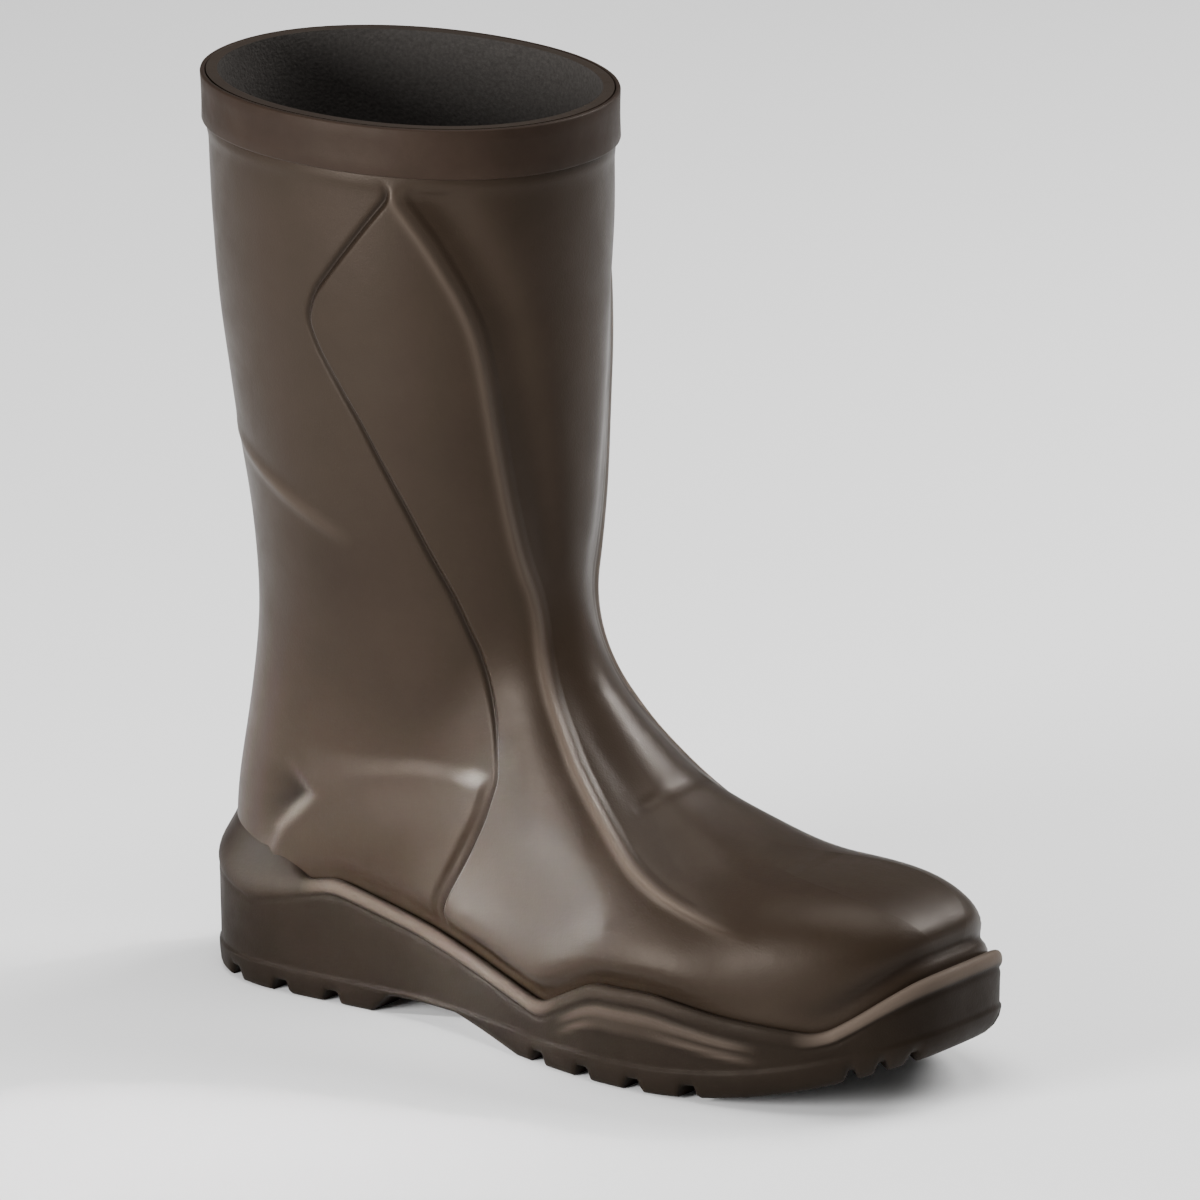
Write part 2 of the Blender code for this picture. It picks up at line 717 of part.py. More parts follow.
def make_band(material):
    """Flat band around the collar."""
    loops = []
    stations = upper_shares(np.ones(1))[0]
    foot, top = COLLAR_HEIGHT - BAND_HEIGHT, COLLAR_HEIGHT
    inside, outside = GAP, GAP + BAND_THICKNESS
    for height, offset in ((foot, inside), (foot, outside), (top, outside), (top, inside)):
        z = np.full((1, len(stations)), height)
        x = across(z, stations)
        loops.append(closed_loops(*(on_form(x, z, side, np.full(z.shape, offset)) for side in (False, True))))
    loops = np.concatenate(loops)
    loops[:2, :, 2], loops[2:, :, 2] = foot, top
    return make_object("collar_band", loops.reshape(-1, 3), tube_faces(4, loops.shape[1], True), material)


def main():
    for thing in list(bpy.data.objects):
        bpy.data.objects.remove(thing)
    compound = make_material("boot_compound", (0.075, 0.060, 0.049), 0.5)
    tread = make_material("sole_compound", (0.062, 0.051, 0.043), 0.55)
    soft = make_material("insert_compound", (0.72, 0.09, 0.06), 0.5)
    foam = make_material("insole_foam", (0.06, 0.055, 0.05), 0.9)
    tape = make_material("band_rubber", (0.060, 0.040, 0.030), 0.45)
    stations = even_stations(SIDE_POINTS)
    make_upper(compound)
    make_outsole(stations, tread)
    make_insert(soft)
    make_insole(stations, foam)
    make_band(tape)

    # The origin is under the middle of the boot's box, on the floor
    things = list(bpy.data.objects)
    corners = np.array([v.co for thing in things if not thing.hide_render for v in thing.data.vertices])
    middle = (corners.min(axis=0) + corners.max(axis=0)) / 2
    boot = bpy.data.objects.new("boot", None)
    boot.location = (-middle[0], -middle[1], 0)
    bpy.context.scene.collection.objects.link(boot)
    for thing in things:
        thing.parent = boot


main()
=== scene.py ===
"""Looks of the right safety wellington boot: moulded upper, lugged sole, red insert, insole and collar band.

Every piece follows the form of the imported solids. x runs from the heel to the toe, y to the medial side
and z up, in millimetres, and make_piece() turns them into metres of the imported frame.
"""

import math

import bmesh
import bpy
import numpy as np
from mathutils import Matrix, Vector


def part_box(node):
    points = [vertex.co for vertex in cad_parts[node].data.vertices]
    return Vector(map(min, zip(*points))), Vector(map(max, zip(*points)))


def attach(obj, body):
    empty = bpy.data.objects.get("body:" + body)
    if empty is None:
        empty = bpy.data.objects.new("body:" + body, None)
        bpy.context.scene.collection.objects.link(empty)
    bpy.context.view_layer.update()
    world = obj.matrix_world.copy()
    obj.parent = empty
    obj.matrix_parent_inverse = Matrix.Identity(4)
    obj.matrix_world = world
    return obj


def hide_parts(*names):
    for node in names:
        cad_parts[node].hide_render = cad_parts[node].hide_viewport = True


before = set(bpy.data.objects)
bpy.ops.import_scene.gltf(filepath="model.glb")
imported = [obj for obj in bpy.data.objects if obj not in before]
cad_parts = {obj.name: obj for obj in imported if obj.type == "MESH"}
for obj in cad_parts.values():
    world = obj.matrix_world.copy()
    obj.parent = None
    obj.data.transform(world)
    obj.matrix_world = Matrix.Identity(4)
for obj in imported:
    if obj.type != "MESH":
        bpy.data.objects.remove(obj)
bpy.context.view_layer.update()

MM = 0.001

# Driving sizes of the last and the sole
SOLE_LENGTH = 312.0
BALL_WIDTH = 112.0
INSTEP_HEIGHT = 104.0
COLLAR_HEIGHT = 332.0
HEEL_SEAT = 24.0
FOREFOOT_SEAT = 14.0
TOE_SPRING = 22.0
TOE_INFLARE = 7.0
HEEL_SEAT_END = 78.0
SHANK_RUN = 95.0
FLAT_TREAD_END = 210.0
SPRING_POWER = 2.0
SEAT_SPRING = 0.70 * TOE_SPRING
INFLARE_START, INFLARE_POWER = 0.45, 1.6

# Thicknesses and clearances
WALL = 4.0
GAP = 0.35
CUP_GAP = 0.6
INSOLE_THICKNESS = 5.0
UPPER_INSET = 4.5
SHOULDER_Z = 36.0
BAND_HEIGHT = 18.0
BAND_THICKNESS = 1.8
BAND_FOOT = COLLAR_HEIGHT - BAND_HEIGHT

# Sampling of the surfaces
BEHIND_PANEL, ON_PANEL, AHEAD_OF_PANEL = 76, 48, 76
OUTER_RINGS, INNER_RINGS, INNER_CROWDING = 180, 24, 1.3
SOLE_STATIONS, TREAD_STRIPS, PLAIN_STRIPS = 320, 96, 2
INSOLE_STATIONS, INSOLE_STRIPS = 120, 24
BAND_STATIONS = 160
STATION_SAMPLES = 2000
EDGE_SAMPLES, DENSE_SAMPLES = 800, 4000
LINE_SAMPLES = 160
ROUNDING_SAMPLES = 13
PROFILE_POINTS = 600
PROFILE_EYE_X, PROFILE_EYE_Z = 110.0, 40.0
SETTLED_RINGS = 0.30
NORMAL_STEP = 0.05
NEAR_CENTRE = 0.01
TINY = 1e-9
SHARP_ANGLE = 50.0


def table(columns, *rows):
    """The rows of a short table as one array for each named column."""
    return dict(zip(columns.split(), np.array(rows, float).T))


# Outline of the last: station along its length, half widths as shares of the ball width
PLAN = table(
    "station lateral medial",
    (0, 0.335, 0.335), (0.13, 0.345, 0.34), (0.33, 0.335, 0.285), (0.5, 0.43, 0.36),
    (0.63, 0.505, 0.45), (0.74, 0.5, 0.49), (0.86, 0.455, 0.47), (1, 0.4, 0.42),
)
HEEL_CAP, TOE_CAP = 0.125, 0.200
CAP_POWER = 2.25

# Foot of the last: height of its top line as a share of the instep height, and how full the section is
FOOT = table(
    "station top fullness",
    (0, 0.6, 2), (0.2, 0.8, 2), (0.34, 1.2, 2), (0.42, 1.42, 2), (0.47, 1.36, 2), (0.51, 1.2, 2.05),
    (0.54, 1.1, 2.1), (0.58, 0.985, 2.2), (0.62, 0.9, 2.3), (0.67, 0.824, 2.4), (0.74, 0.754, 2.5),
    (0.8, 0.736, 2.6), (0.86, 0.745, 2.7), (0.92, 0.765, 2.9), (1, 0.79, 3.2),
)

# Leg of the last: horizontal sections, with height as a share of the collar height
LEG = table(
    "height back front centre lateral medial power",
    (0.04, 5, 140, 42, 33, 32.5, 2.2),
    (0.12, 4.5, 140, 43, 34, 33.5, 2.2),
    (0.21, 6.5, 140, 46, 36, 35, 2.2),
    (0.31, 12.5, 140.5, 55, 39, 38, 2.15),
    (0.42, 16, 143.5, 68, 43, 42, 2.1),
    (0.53, 13, 148, 74, 48, 47, 2.1),
    (0.67, 5, 150, 76, 53.5, 53, 2.1),
    (0.83, -0.5, 150, 75, 58.5, 58, 2.1),
    (1, -2.5, 149, 74, 61, 60.5, 2.1),
)
BLEND = 0.60

# Top edge of the sole's side: heel ledge, bead falling to the waist, forefoot petal and toe bumper
EDGE = table(
    "station lateral medial",
    (0, 46, 46), (0.035, 44, 44), (0.115, 38, 39), (0.175, 43, 43), (0.225, 47, 46),
    (0.545, 23, 28.5), (0.58, 29, 27.5), (0.625, 36.5, 27), (0.7, 37, 26.5), (0.78, 33, 27.5),
    (0.86, 31, 30), (0.895, 30, 31), (0.925, 36, 36), (0.96, 45, 45), (0.985, 51, 51), (1, 52, 52),
)

# Section of the sole's side: rows from the tread up to the line above the lugs, then rows under the top edge
LOW_ROWS = table("share offset", (0, 2), (0.05, 2.9), (0.14, 3.6), (0.3, 4.1), (0.6, 4.4), (0.92, 4.5))
LUG_LINE_Z = 9.5
MIDDLE_ROWS = table("rise offset", (9.6, 4.4), (10.2, 3.95), (10.8, 3.8), (11.6, 3.85))
TOP_ROWS = table(
    "rise plain bead slope",
    (-9.6, 4, 0, 0),
    (-8.2, 4.1, 0, 0),
    (-7.2, 4.1, -0.15, 0),
    (-6.6, 4.1, -0.45, 0),
    (-6, 4.15, -0.65, 0),
    (-5.5, 4.2, -0.4, 0),
    (-5, 4.2, 0.2, 0),
    (-4.3, 4.25, 0.65, 0),
    (-3.2, 4.25, 0.95, 0.1),
    (-2, 4.1, 1.1, 0.4),
    (-1, 3.8, 1.05, 1.1),
    (-0.3, 3.3, 0.9, 2.4),
    (0, 2.6, 0.6, 4.4),
    (-0.1, 1.8, 0.4, 7),
    (-0.7, 0.9, 0.1, 10.5),
    (-1.8, -0.3, 0, 15.5),
)
HEEL_SLOPE_END, HEEL_SLOPE_FADE = 62.0, 20.0
# Bead along the top edge of the sole's side: how far it stands out on each side, and its shine, a painted
# highlight along its crest
BEAD = table(
    "x lateral medial shine",
    (0, 0.3, 0.3, 0.15),
    (56, 0.3, 0.3, 0.15),
    (70, 1, 1, 1),
    (168, 1, 1, 1),
    (180, 0.3, 1, 0.25),
    (222, 0.3, 1, 0.25),
    (240, 0.05, 1, 0.05),
    (271, 0.1, 1, 0.05),
    (284, 1, 1, 1.3),
    (296, 0.6, 0.6, 1.3),
    (312, 0.6, 0.6, 1.3),
)
EDGE_ROUNDING = 4.5
SIDE_WALL_ROWS = 5
SEAT_ROWS = 4
TOE_BEVEL = 5.0
LEAST_LUG, LEAST_ROOM, ROOM_GAP = 1.5, 0.2, 0.5

# Ribs that follow the forefoot petal under its top edge: drop from the edge and how far each stands out
PETAL_RIBS = table("drop height width", (9, 0.9, 1.3), (13.5, 0.75, 1.3))
PETAL_START, PETAL_END, PETAL_FADE = 176.0, 262.0, 14.0
RIBBED_TOP_ROWS = 6

# Arch under the waist: the heel's breast and the rise of the tread behind the ball
ARCH = table("x rise", (84, 0), (92, 7.5), (124, 8), (156, 0))

# Raised side panel: its rear edge with a groove beside it and its front edge, a ridge, from sole to collar
PANEL_REAR = table(
    "z x",
    (46, 117), (64, 126), (79, 133.5), (95, 138), (112, 134), (135, 127), (160, 120), (189, 108),
    (222, 92), (246, 77), (257, 72.5), (267, 76), (307, 107.5), (334, 88),
)
PANEL_FRONT = table(
    "z x",
    (56, 290), (58.5, 262), (61.5, 243), (66, 223), (72, 207), (79, 195), (94, 176), (112, 159),
    (134, 146), (162, 141), (212, 137), (250, 134), (266, 131), (290, 120), (307, 108.5),
    (334, 128),
)
EDGE_RUN_ON = 8.0
PANEL_ROUNDING = table(
    "z rear front",
    (56, 3.5, 2.5), (80, 3.5, 5), (120, 3.5, 12), (270, 3.5, 12), (300, 3.5, 3.5),
)

# Heel counter: its top edge, its notched rear edge, and how softly the top edge runs out
COUNTER_TOP = table("x z", (5, 82), (54, 86), (98, 93), (135, 93))
COUNTER_REAR = table("z x", (40, 36), (48, 36), (60, 41), (75, 57), (87, 48), (96, 44))
COUNTER_SOFTNESS = table("x run", (60, 13), (105, 7))

# Soft lines placed on the upper, as places in its side view
CALF_RIDGE = table("x z", (14, 205), (46, 191), (84, 174))
INSTEP_CREASE = table("x z", (188.5, 92), (192.5, 94.5), (199, 98.5))
LINE_END_POWER = 0.7

# Relief of the upper: an IN is the start and run of a fade in, an OUT the end and run of a fade out, and the
# other pairs are place and width. What differs on the foot and on the leg has both sizes, the foot's first
# A SHINE is how much painted highlight, and a SHADE how much painted shade, the colour gets there
SOLE_IN, BAND_OUT = (1, 7), (BAND_FOOT, 1.5)
LEG_IN = (105, 55)
PANEL_RELIEF, PANEL_TOP_OUT = 1.4, (311, 5)
PANEL_REAR_IN, PANEL_FRONT_IN = (-0.88, 2.2), (-0.9, 3.6)
PANEL_GROOVE, PANEL_GROOVE_DEPTH = (-0.9, 1.25), 0.95
RIDGE, RIDGE_HEIGHT, RIDGE_SHINE = (1.6, 2.1), (0.75, 0.5), (1.5, 0.6)
LATERAL_RIDGE_OUT, MEDIAL_RIDGE_OUT, MEDIAL_STRENGTH = (254, 44), (215, 44), 0.5
HOLLOW_PLACE, HOLLOW_WIDTH, HOLLOW_DEPTH = (14, 11), (12, 9), (3.1, 2.7)
HOLLOW_IN, KEEL_IN = (0, 4), (0, 19)
HOLLOW_SHADE, HOLLOW_SHADE_OUT = 0.45, (150, 60)
COUNTER_RELIEF = 1.0
COUNTER_REAR_IN, COUNTER_STRIP_IN = (-1.8, 6), (4.4, 2.2)
COUNTER_SWELLING_X, COUNTER_SWELLING_Z, COUNTER_SWELLING = (86, 30), (68, 17), 2.8
HEEL_NOTCH_X, HEEL_NOTCH_Z, HEEL_NOTCH_IN = (0, 13), (73, 8), (0, 5)
HEEL_NOTCH_DEPTH, HEEL_NOTCH_SHADE = 1.5, 1.5
FLARE, FLARE_HEIGHT = (8, 13), 3.0
FLARE_IN, FLARE_OUT = (92, 40), (262, 40)
CALF, CALF_HEIGHT, CALF_SHINE = (0, 2.6), 0.95, 0.4
CREASE, CREASE_DEPTH = (0, 2), 0.8
TOE_IN = (262, 34)
RECESS, RECESS_DEPTH, RECESS_SHADE = (5, 5.5), 2.3, 1.2
BROW, BROW_HEIGHT = (20, 9), 0.5
COLLAR_LIP, COLLAR_LIP_HEIGHT = (BAND_FOOT - 2.6, 1.9), 0.5
WAVES = table("x z", (31, 13), (17, -47), (-23, 7.3))
WAVE_HEIGHT, LAST_WAVE_SHARE, WAVE_OUT = 0.12, 0.6, (BAND_FOOT, 12)

# Tread: depths of its grooves, and the lugs along the edge of heel and forefoot
CHANNEL_DEPTH, NOTCH_DEPTH, INNER_NOTCH_DEPTH, CHEVRON_DEPTH = 5.0, 4.4, 3.8, 4.0
LUG_PITCH, NOTCH_WIDTH, NOTCH_START = 22.0, 6.5, 2.0
CHEVRON_WIDTH = 4.5
GROOVE_SLOPE = 0.9
TREAD = table(
    "start end channel_inner channel_outer first_notch notches inner_notches",
    (34, 84, 0.48, 0.62, 20, 3, 0),
    (158, 250, 0.58, 0.71, 164, 4, 4),
)
CHEVRONS = table(
    "apex reach slope",
    (256, 60, 0.85), (269, 52, 0.85), (282, 40, 0.85), (35, 30, -1.15), (20, 22, -1.15),
)

# Insert of softer compound under the waist and ball: a lens, its stem and two arms under the heel
LENS = table(
    "x half",
    (68, 4.5), (84, 4.5), (92, 4.5), (106, 4.8), (118, 9.5), (140, 15), (156, 17.5), (190, 19.5),
    (215, 18), (235, 14.5), (246, 10.5),
)
ARM = table("inner_x inner_y outer_x outer_y", (58, 0, 68, 4.5), (24, 15.5, 29, 22))
INSERT_RECESS, INSERT_THICKNESS = 2.5, 3.5
INSERT_ROUNDING, INSERT_ROUNDING_RUN = 0.7, 1.2
STEM_START = 2.0
RIB_PITCH, RIB_HEIGHT, RIB_WIDTH, RIB_SLOPE = 9.0, 1.3, 1.9, 0.75
RIBS_IN, RIBS_EDGE_IN = (112, 10), (1.6, 1.2)
LENS_ROWS, LENS_COLUMNS, ARM_ROWS, ARM_COLUMNS = 180, 32, 40, 10

# Heel cup of the insole
HEEL_CUP_DEPTH, HEEL_CUP_POWER, HEEL_CUP_OUT = 1.6, 4, (110, 60)


def spline(knots, values, at):
    """Natural cubic spline through a table's column."""
    step = np.diff(knots)
    count = len(knots)
    system = np.eye(count)
    right = np.zeros(count)
    for i in range(1, count - 1):
        system[i, i - 1 : i + 2] = step[i - 1], 2 * (step[i - 1] + step[i]), step[i]
        right[i] = 6 * ((values[i + 1] - values[i]) / step[i] - (values[i] - values[i - 1]) / step[i - 1])
    bend = np.linalg.solve(system, right)
    at = np.clip(at, knots[0], knots[-1])
    i = np.clip(np.searchsorted(knots, at) - 1, 0, count - 2)
    h = step[i]
    low, high = (knots[i + 1] - at) / h, (at - knots[i]) / h
    straight = low * values[i] + high * values[i + 1]
    return straight + ((low**3 - low) * bend[i] + (high**3 - high) * bend[i + 1]) * h * h / 6


def curve(rows, name, at):
    """A smooth curve through a column of a table, along its first column."""
    return spline(next(iter(rows.values())), rows[name], at)


def straight(rows, name, at):
    """Straight runs through a column of a table, along its first column."""
    return np.interp(at, next(iter(rows.values())), rows[name])


def plan_side(station, medial):
    """Half width of the plan without its rounded ends, as a share of the ball width."""
    return np.where(medial, curve(PLAN, "medial", station), curve(PLAN, "lateral", station))


def end_rounding(station):
    """0 along the plan, growing as a power to 1 at its rounded heel and toe ends."""
    heel = np.clip(1 - station / HEEL_CAP, 0, None)
    toe = np.clip(1 - (1 - station) / TOE_CAP, 0, None)
    return heel**CAP_POWER + toe**CAP_POWER


def centre_line(x):
    """Sideways swing of the toe towards the medial side."""
    forward = np.clip((x / SOLE_LENGTH - INFLARE_START) / (1 - INFLARE_START), 0, 1)
    return TOE_INFLARE * forward**INFLARE_POWER


UPPER_LENGTH = SOLE_LENGTH - 2 * UPPER_INSET
UPPER_BALL = BALL_WIDTH - 2 * UPPER_INSET


def foot_level(x, y, z, medial):
    """Below 0 inside the foot: an arch over each station of the plan."""
    station = (x - UPPER_INSET) / UPPER_LENGTH
    full = curve(FOOT, "fullness", x / SOLE_LENGTH)
    top = INSTEP_HEIGHT * curve(FOOT, "top", x / SOLE_LENGTH)
    half = UPPER_BALL * plan_side(station, medial)
    rise = np.clip((z - SHOULDER_Z) / (top - SHOULDER_Z), 0, None)
    return (y / half) ** full + rise**full + end_rounding(station) - 1


def leg_level(x, y, z, medial):
    """Below 0 inside the leg: an egg-shaped section at each height."""
    height = np.clip(z / COLLAR_HEIGHT, LEG["height"][0], 1)
    back, front, centre, lateral_half, medial_half, power = (
        curve(LEG, name, height) for name in list(LEG)[1:]
    )
    half = np.where(medial, medial_half, lateral_half)
    reach = np.where(x < centre, centre - back, front - centre)
    return (y / half) ** power + np.abs((x - centre) / reach) ** power - 1


def boot_level(x, y, z, medial):
    """Below 0 inside the boot: the foot and the leg with a soft fillet between them."""
    foot, leg = foot_level(x, y, z, medial), leg_level(x, y, z, medial)
    meet = np.clip(BLEND - np.abs(foot - leg), 0, None) / BLEND
    return np.minimum(foot, leg) - meet**2 * BLEND / 4


def bisect(level, inside, outside, rounds=34):
    """Where a level passes 0 between arrays of places inside and outside."""
    for _ in range(rounds):
        middle = (inside + outside) / 2
        below = level(middle) < 0
        inside, outside = np.where(below, middle, inside), np.where(below, outside, middle)
    return inside


def half_width(x, z, medial):
    """Half width of the boot at a place in its side view, 0 outside its silhouette."""
    x, z, medial = np.broadcast_arrays(x, z, medial)
    return bisect(lambda y: boot_level(x, y, z, medial), np.zeros(x.shape), np.full(x.shape, BALL_WIDTH))


def back_and_front(z):
    """x of the boot's back and front at heights z, in the side view."""
    z = np.asarray(z, float)
    inside = np.full(z.shape, PROFILE_EYE_X)
    beyond = (inside - SOLE_LENGTH, inside + SOLE_LENGTH)
    return [bisect(lambda x: boot_level(x, 0 * x, z, True), inside, end) for end in beyond]


def across(z, share):
    """x at a share of the way from the boot's back to its front, at heights z."""
    back, front = back_and_front(z)
    return back + (front - back) * share


def unit(vectors):
    """Vectors brought to a length of 1."""
    return vectors / np.maximum(np.linalg.norm(vectors, axis=-1, keepdims=True), TINY)


def outward(x, y, z, medial):
    """Unit normals of the boot's surface from the slope of its level."""
    step = NORMAL_STEP
    slope = np.stack(
        [
            boot_level(x + step, y, z, medial) - boot_level(x - step, y, z, medial),
            boot_level(x, y + step, z, medial) - boot_level(x, np.abs(y - step), z, medial),
            boot_level(x, y, z + step, medial) - boot_level(x, y, z - step, medial),
        ],
        -1,
    )
    return unit(slope)


def on_form(x, z, medial, offset):
    """Points of the boot's form at places in its side view, moved out along its normals."""
    y = half_width(x, z, medial)
    normal = outward(x, y, z, medial)
    normal[..., 1] *= y > NEAR_CENTRE
    point = np.stack([x, y, z], -1) + np.asarray(offset)[..., None] * unit(normal)
    point[..., 1] = point[..., 1] * (1 if medial else -1) + centre_line(point[..., 0])
    return point


def closed_loops(lateral, medial):
    """Loops around the boot: along the lateral side to the toe and back along the medial side."""
    return np.concatenate([lateral, medial[:, -2:0:-1]], axis=1)


def form_loops(x, z, offset):
    """Loops around the boot at an even distance from its form, at places in its side view."""
    return closed_loops(*(on_form(x, z, medial, np.full(x.shape, offset)) for medial in (False, True)))


def fade_in(value, start, run):
    """0 up to a start, then smoothly up to 1 over a run."""
    share = np.clip((value - start) / run, 0, 1)
    return share * share * (3 - 2 * share)


def fade_out(value, end, run):
    """1 at first, then smoothly down to 0 over the run before an end."""
    return fade_in(end - value, 0, run)


def swell(value, place, width):
    """A soft swelling that is 1 at a place and fades over its width on both sides."""
    return np.exp(-(((value - place) / width) ** 2))


def crowded(count):
    """Shares from 0 to 1 that crowd towards both ends."""
    return (1 - np.cos(np.linspace(0, math.pi, count + 1))) / 2


def toe_rise(x):
    """0 along the flat tread, growing to 1 at the toe."""
    return np.clip((x - FLAT_TREAD_END) / (SOLE_LENGTH - FLAT_TREAD_END), 0, 1) ** SPRING_POWER


def footbed(x):
    """Height of the sole's seat under the insole: heel lift, then the toe spring."""
    drop = fade_in(x, HEEL_SEAT_END, SHANK_RUN)
    return HEEL_SEAT + (FOREFOOT_SEAT - HEEL_SEAT) * drop + SEAT_SPRING * toe_rise(x)


def sole_bottom(x):
    """Height of the tread without its arch: flat, with a toe spring."""
    return TOE_SPRING * toe_rise(x)


def tread_level(x):
    """Height of the tread with its arch."""
    return np.maximum(sole_bottom(x), straight(ARCH, "rise", x))


def even_stations(count):
    """Places from heel to toe, as shares, that stand evenly along the foot's lateral edge."""
    share = crowded(STATION_SAMPLES)
    seat = np.full(share.shape, HEEL_SEAT)
    x = across(seat, share)
    y = half_width(x, seat, False)
    run = np.concatenate([[0], np.cumsum(np.hypot(np.diff(x), np.diff(y)))])
    return np.interp(np.linspace(0, run[-1], count + 1), run, share)


def profile_ends(rings):
    """Back and front ends of each ring in the side view, at even shares of the two profiles."""
    eye_x, eye_z = PROFILE_EYE_X, PROFILE_EYE_Z
    dense = np.linspace(0, 1, PROFILE_POINTS)
    toe_x = SOLE_LENGTH - UPPER_INSET
    toe_angle = math.atan2(footbed(toe_x) + GAP - eye_z, toe_x - eye_x)
    collar_angle = math.atan2(COLLAR_HEIGHT - eye_z, LEG["front"][-1] - eye_x)
    angle = toe_angle + (collar_angle - toe_angle) * dense
    run, rise = np.cos(angle), np.sin(angle)
    start, limit = np.zeros(PROFILE_POINTS), np.full(PROFILE_POINTS, COLLAR_HEIGHT)
    reach = bisect(lambda r: boot_level(eye_x + r * run, 0 * r, eye_z + r * rise, True), start, limit)
    over = eye_z + reach * rise > COLLAR_HEIGHT
    reach[over] = (COLLAR_HEIGHT - eye_z) / rise[over]
    front = np.stack([eye_x + reach * run, eye_z + reach * rise], 1)
    back_z = HEEL_SEAT + GAP + (COLLAR_HEIGHT - HEEL_SEAT - GAP) * dense
    back = np.stack([back_and_front(back_z)[0], back_z], 1)
    ends = []
    for line in (back, front):
        length = np.concatenate([[0], np.cumsum(np.linalg.norm(np.diff(line, axis=0), axis=1))])
        places = np.interp(rings, length / length[-1], dense)
        ends.append(np.stack([np.interp(places, dense, line[:, k]) for k in (0, 1)], 1))
    return ends


def ring_lines(rings, shares):
    """Side view of the upper's rings: x and z at shares of their length, the lowest along the footbed."""
    back, front = profile_ends(rings)
    x = back[:, :1] + (front[:, :1] - back[:, :1]) * shares
    z = back[:, 1:] + (front[:, 1:] - back[:, 1:]) * shares
    chord = HEEL_SEAT + (footbed(SOLE_LENGTH - UPPER_INSET) - HEEL_SEAT) * shares
    settle = np.clip(1 - rings[:, None] / SETTLED_RINGS, 0, 1) ** 2
    return x, z + (footbed(x) - chord) * settle


def rounded(knots, values, at, radius):
    """A line of straight runs between a table's rows, with its corners rounded."""
    shifts = np.linspace(-1, 1, ROUNDING_SAMPLES)
    return np.mean([np.interp(at + shift * radius, knots, values) for shift in shifts], axis=0)


def panel_edge(edge, z):
    """x of an edge of the side panel at heights z."""
    radius = straight(PANEL_ROUNDING, "front" if edge is PANEL_FRONT else "rear", z)
    return rounded(edge["z"], edge["x"], z, radius)


def panel_share(rings, edge):
    """Share of each ring at which it crosses an edge of the side panel."""

    def ahead_of_edge(share):
        x, z = ring_lines(rings, share)
        return x - panel_edge(edge, z)

    ends = np.zeros((len(rings), 1))
    return bisect(ahead_of_edge, ends, ends + 1)


def upper_shares(rings):
    """Shares of each ring at its points: behind, on and ahead of the side panel, crowded at its edges."""
    rear, front = panel_share(rings, PANEL_REAR), panel_share(rings, PANEL_FRONT)
    behind = rear * crowded(BEHIND_PANEL)
    on_panel = rear + (front - rear) * crowded(ON_PANEL)[1:]
    ahead = front + (1 - front) * crowded(AHEAD_OF_PANEL)[1:]
    return np.concatenate([behind, on_panel, ahead], axis=1)


def sole_edge(x, medial):
    """Height of the top edge of the sole's side, with its corners rounded."""
    heights = EDGE["medial" if medial else "lateral"]
    return rounded(SOLE_LENGTH * EDGE["station"], heights, x, EDGE_ROUNDING)


def distance_to(points, x, z, medial):
    """Distance from rows of points to a line on the boot's form, given in its side view."""
    line = on_form(x, z, medial, np.zeros(len(x)))
    way = np.gradient(line, axis=0)
    spacing = np.linalg.norm(way, axis=1, keepdims=True)
    way /= spacing
    distances = []
    for row in points:
        gaps = row[:, None] - line
        nearest = np.linalg.norm(gaps, axis=-1).argmin(axis=1)
        gap = gaps[np.arange(len(row)), nearest]
        along = np.sum(gap * way[nearest], axis=-1, keepdims=True)
        beside_line = gap - np.clip(along, -spacing[nearest], spacing[nearest]) * way[nearest]
        distances.append(np.linalg.norm(beside_line, axis=-1))
    return np.array(distances)


def edge_distance(points, x, z, edge, medial):
    """Distance from an edge of the side panel, above 0 ahead of it."""
    dense_z = np.linspace(edge["z"][0] - EDGE_RUN_ON, edge["z"][-1], DENSE_SAMPLES)
    run = np.cumsum(np.hypot(np.gradient(panel_edge(edge, dense_z)), np.gradient(dense_z)))
    line_z = np.interp(np.linspace(run[0], run[-1], EDGE_SAMPLES), run, dense_z)
    distance = distance_to(points, panel_edge(edge, line_z), line_z, medial)
    return np.where(x > panel_edge(edge, z), distance, -distance)


def drawn_line(points, line, medial):
    """Distance from a soft line drawn on the upper, and a fade towards its two ends."""
    share = np.linspace(0, 1, len(line["x"]))
    at = np.linspace(0, 1, LINE_SAMPLES)
    x, z = spline(share, line["x"], at), spline(share, line["z"], at)
    drawn = on_form(x, z, medial, np.zeros(LINE_SAMPLES))
    gaps = [np.linalg.norm(row[:, None] - drawn, axis=-1) for row in points]
    nearest = np.array([gap.argmin(axis=1) for gap in gaps]) / (LINE_SAMPLES - 1)
    return np.array([gap.min(axis=1) for gap in gaps]), np.sin(math.pi * nearest) ** LINE_END_POWER


def foot_to_leg(sizes, on_leg):
    """A size that changes from the foot to the leg."""
    foot, leg = sizes
    return foot + (leg - foot) * on_leg


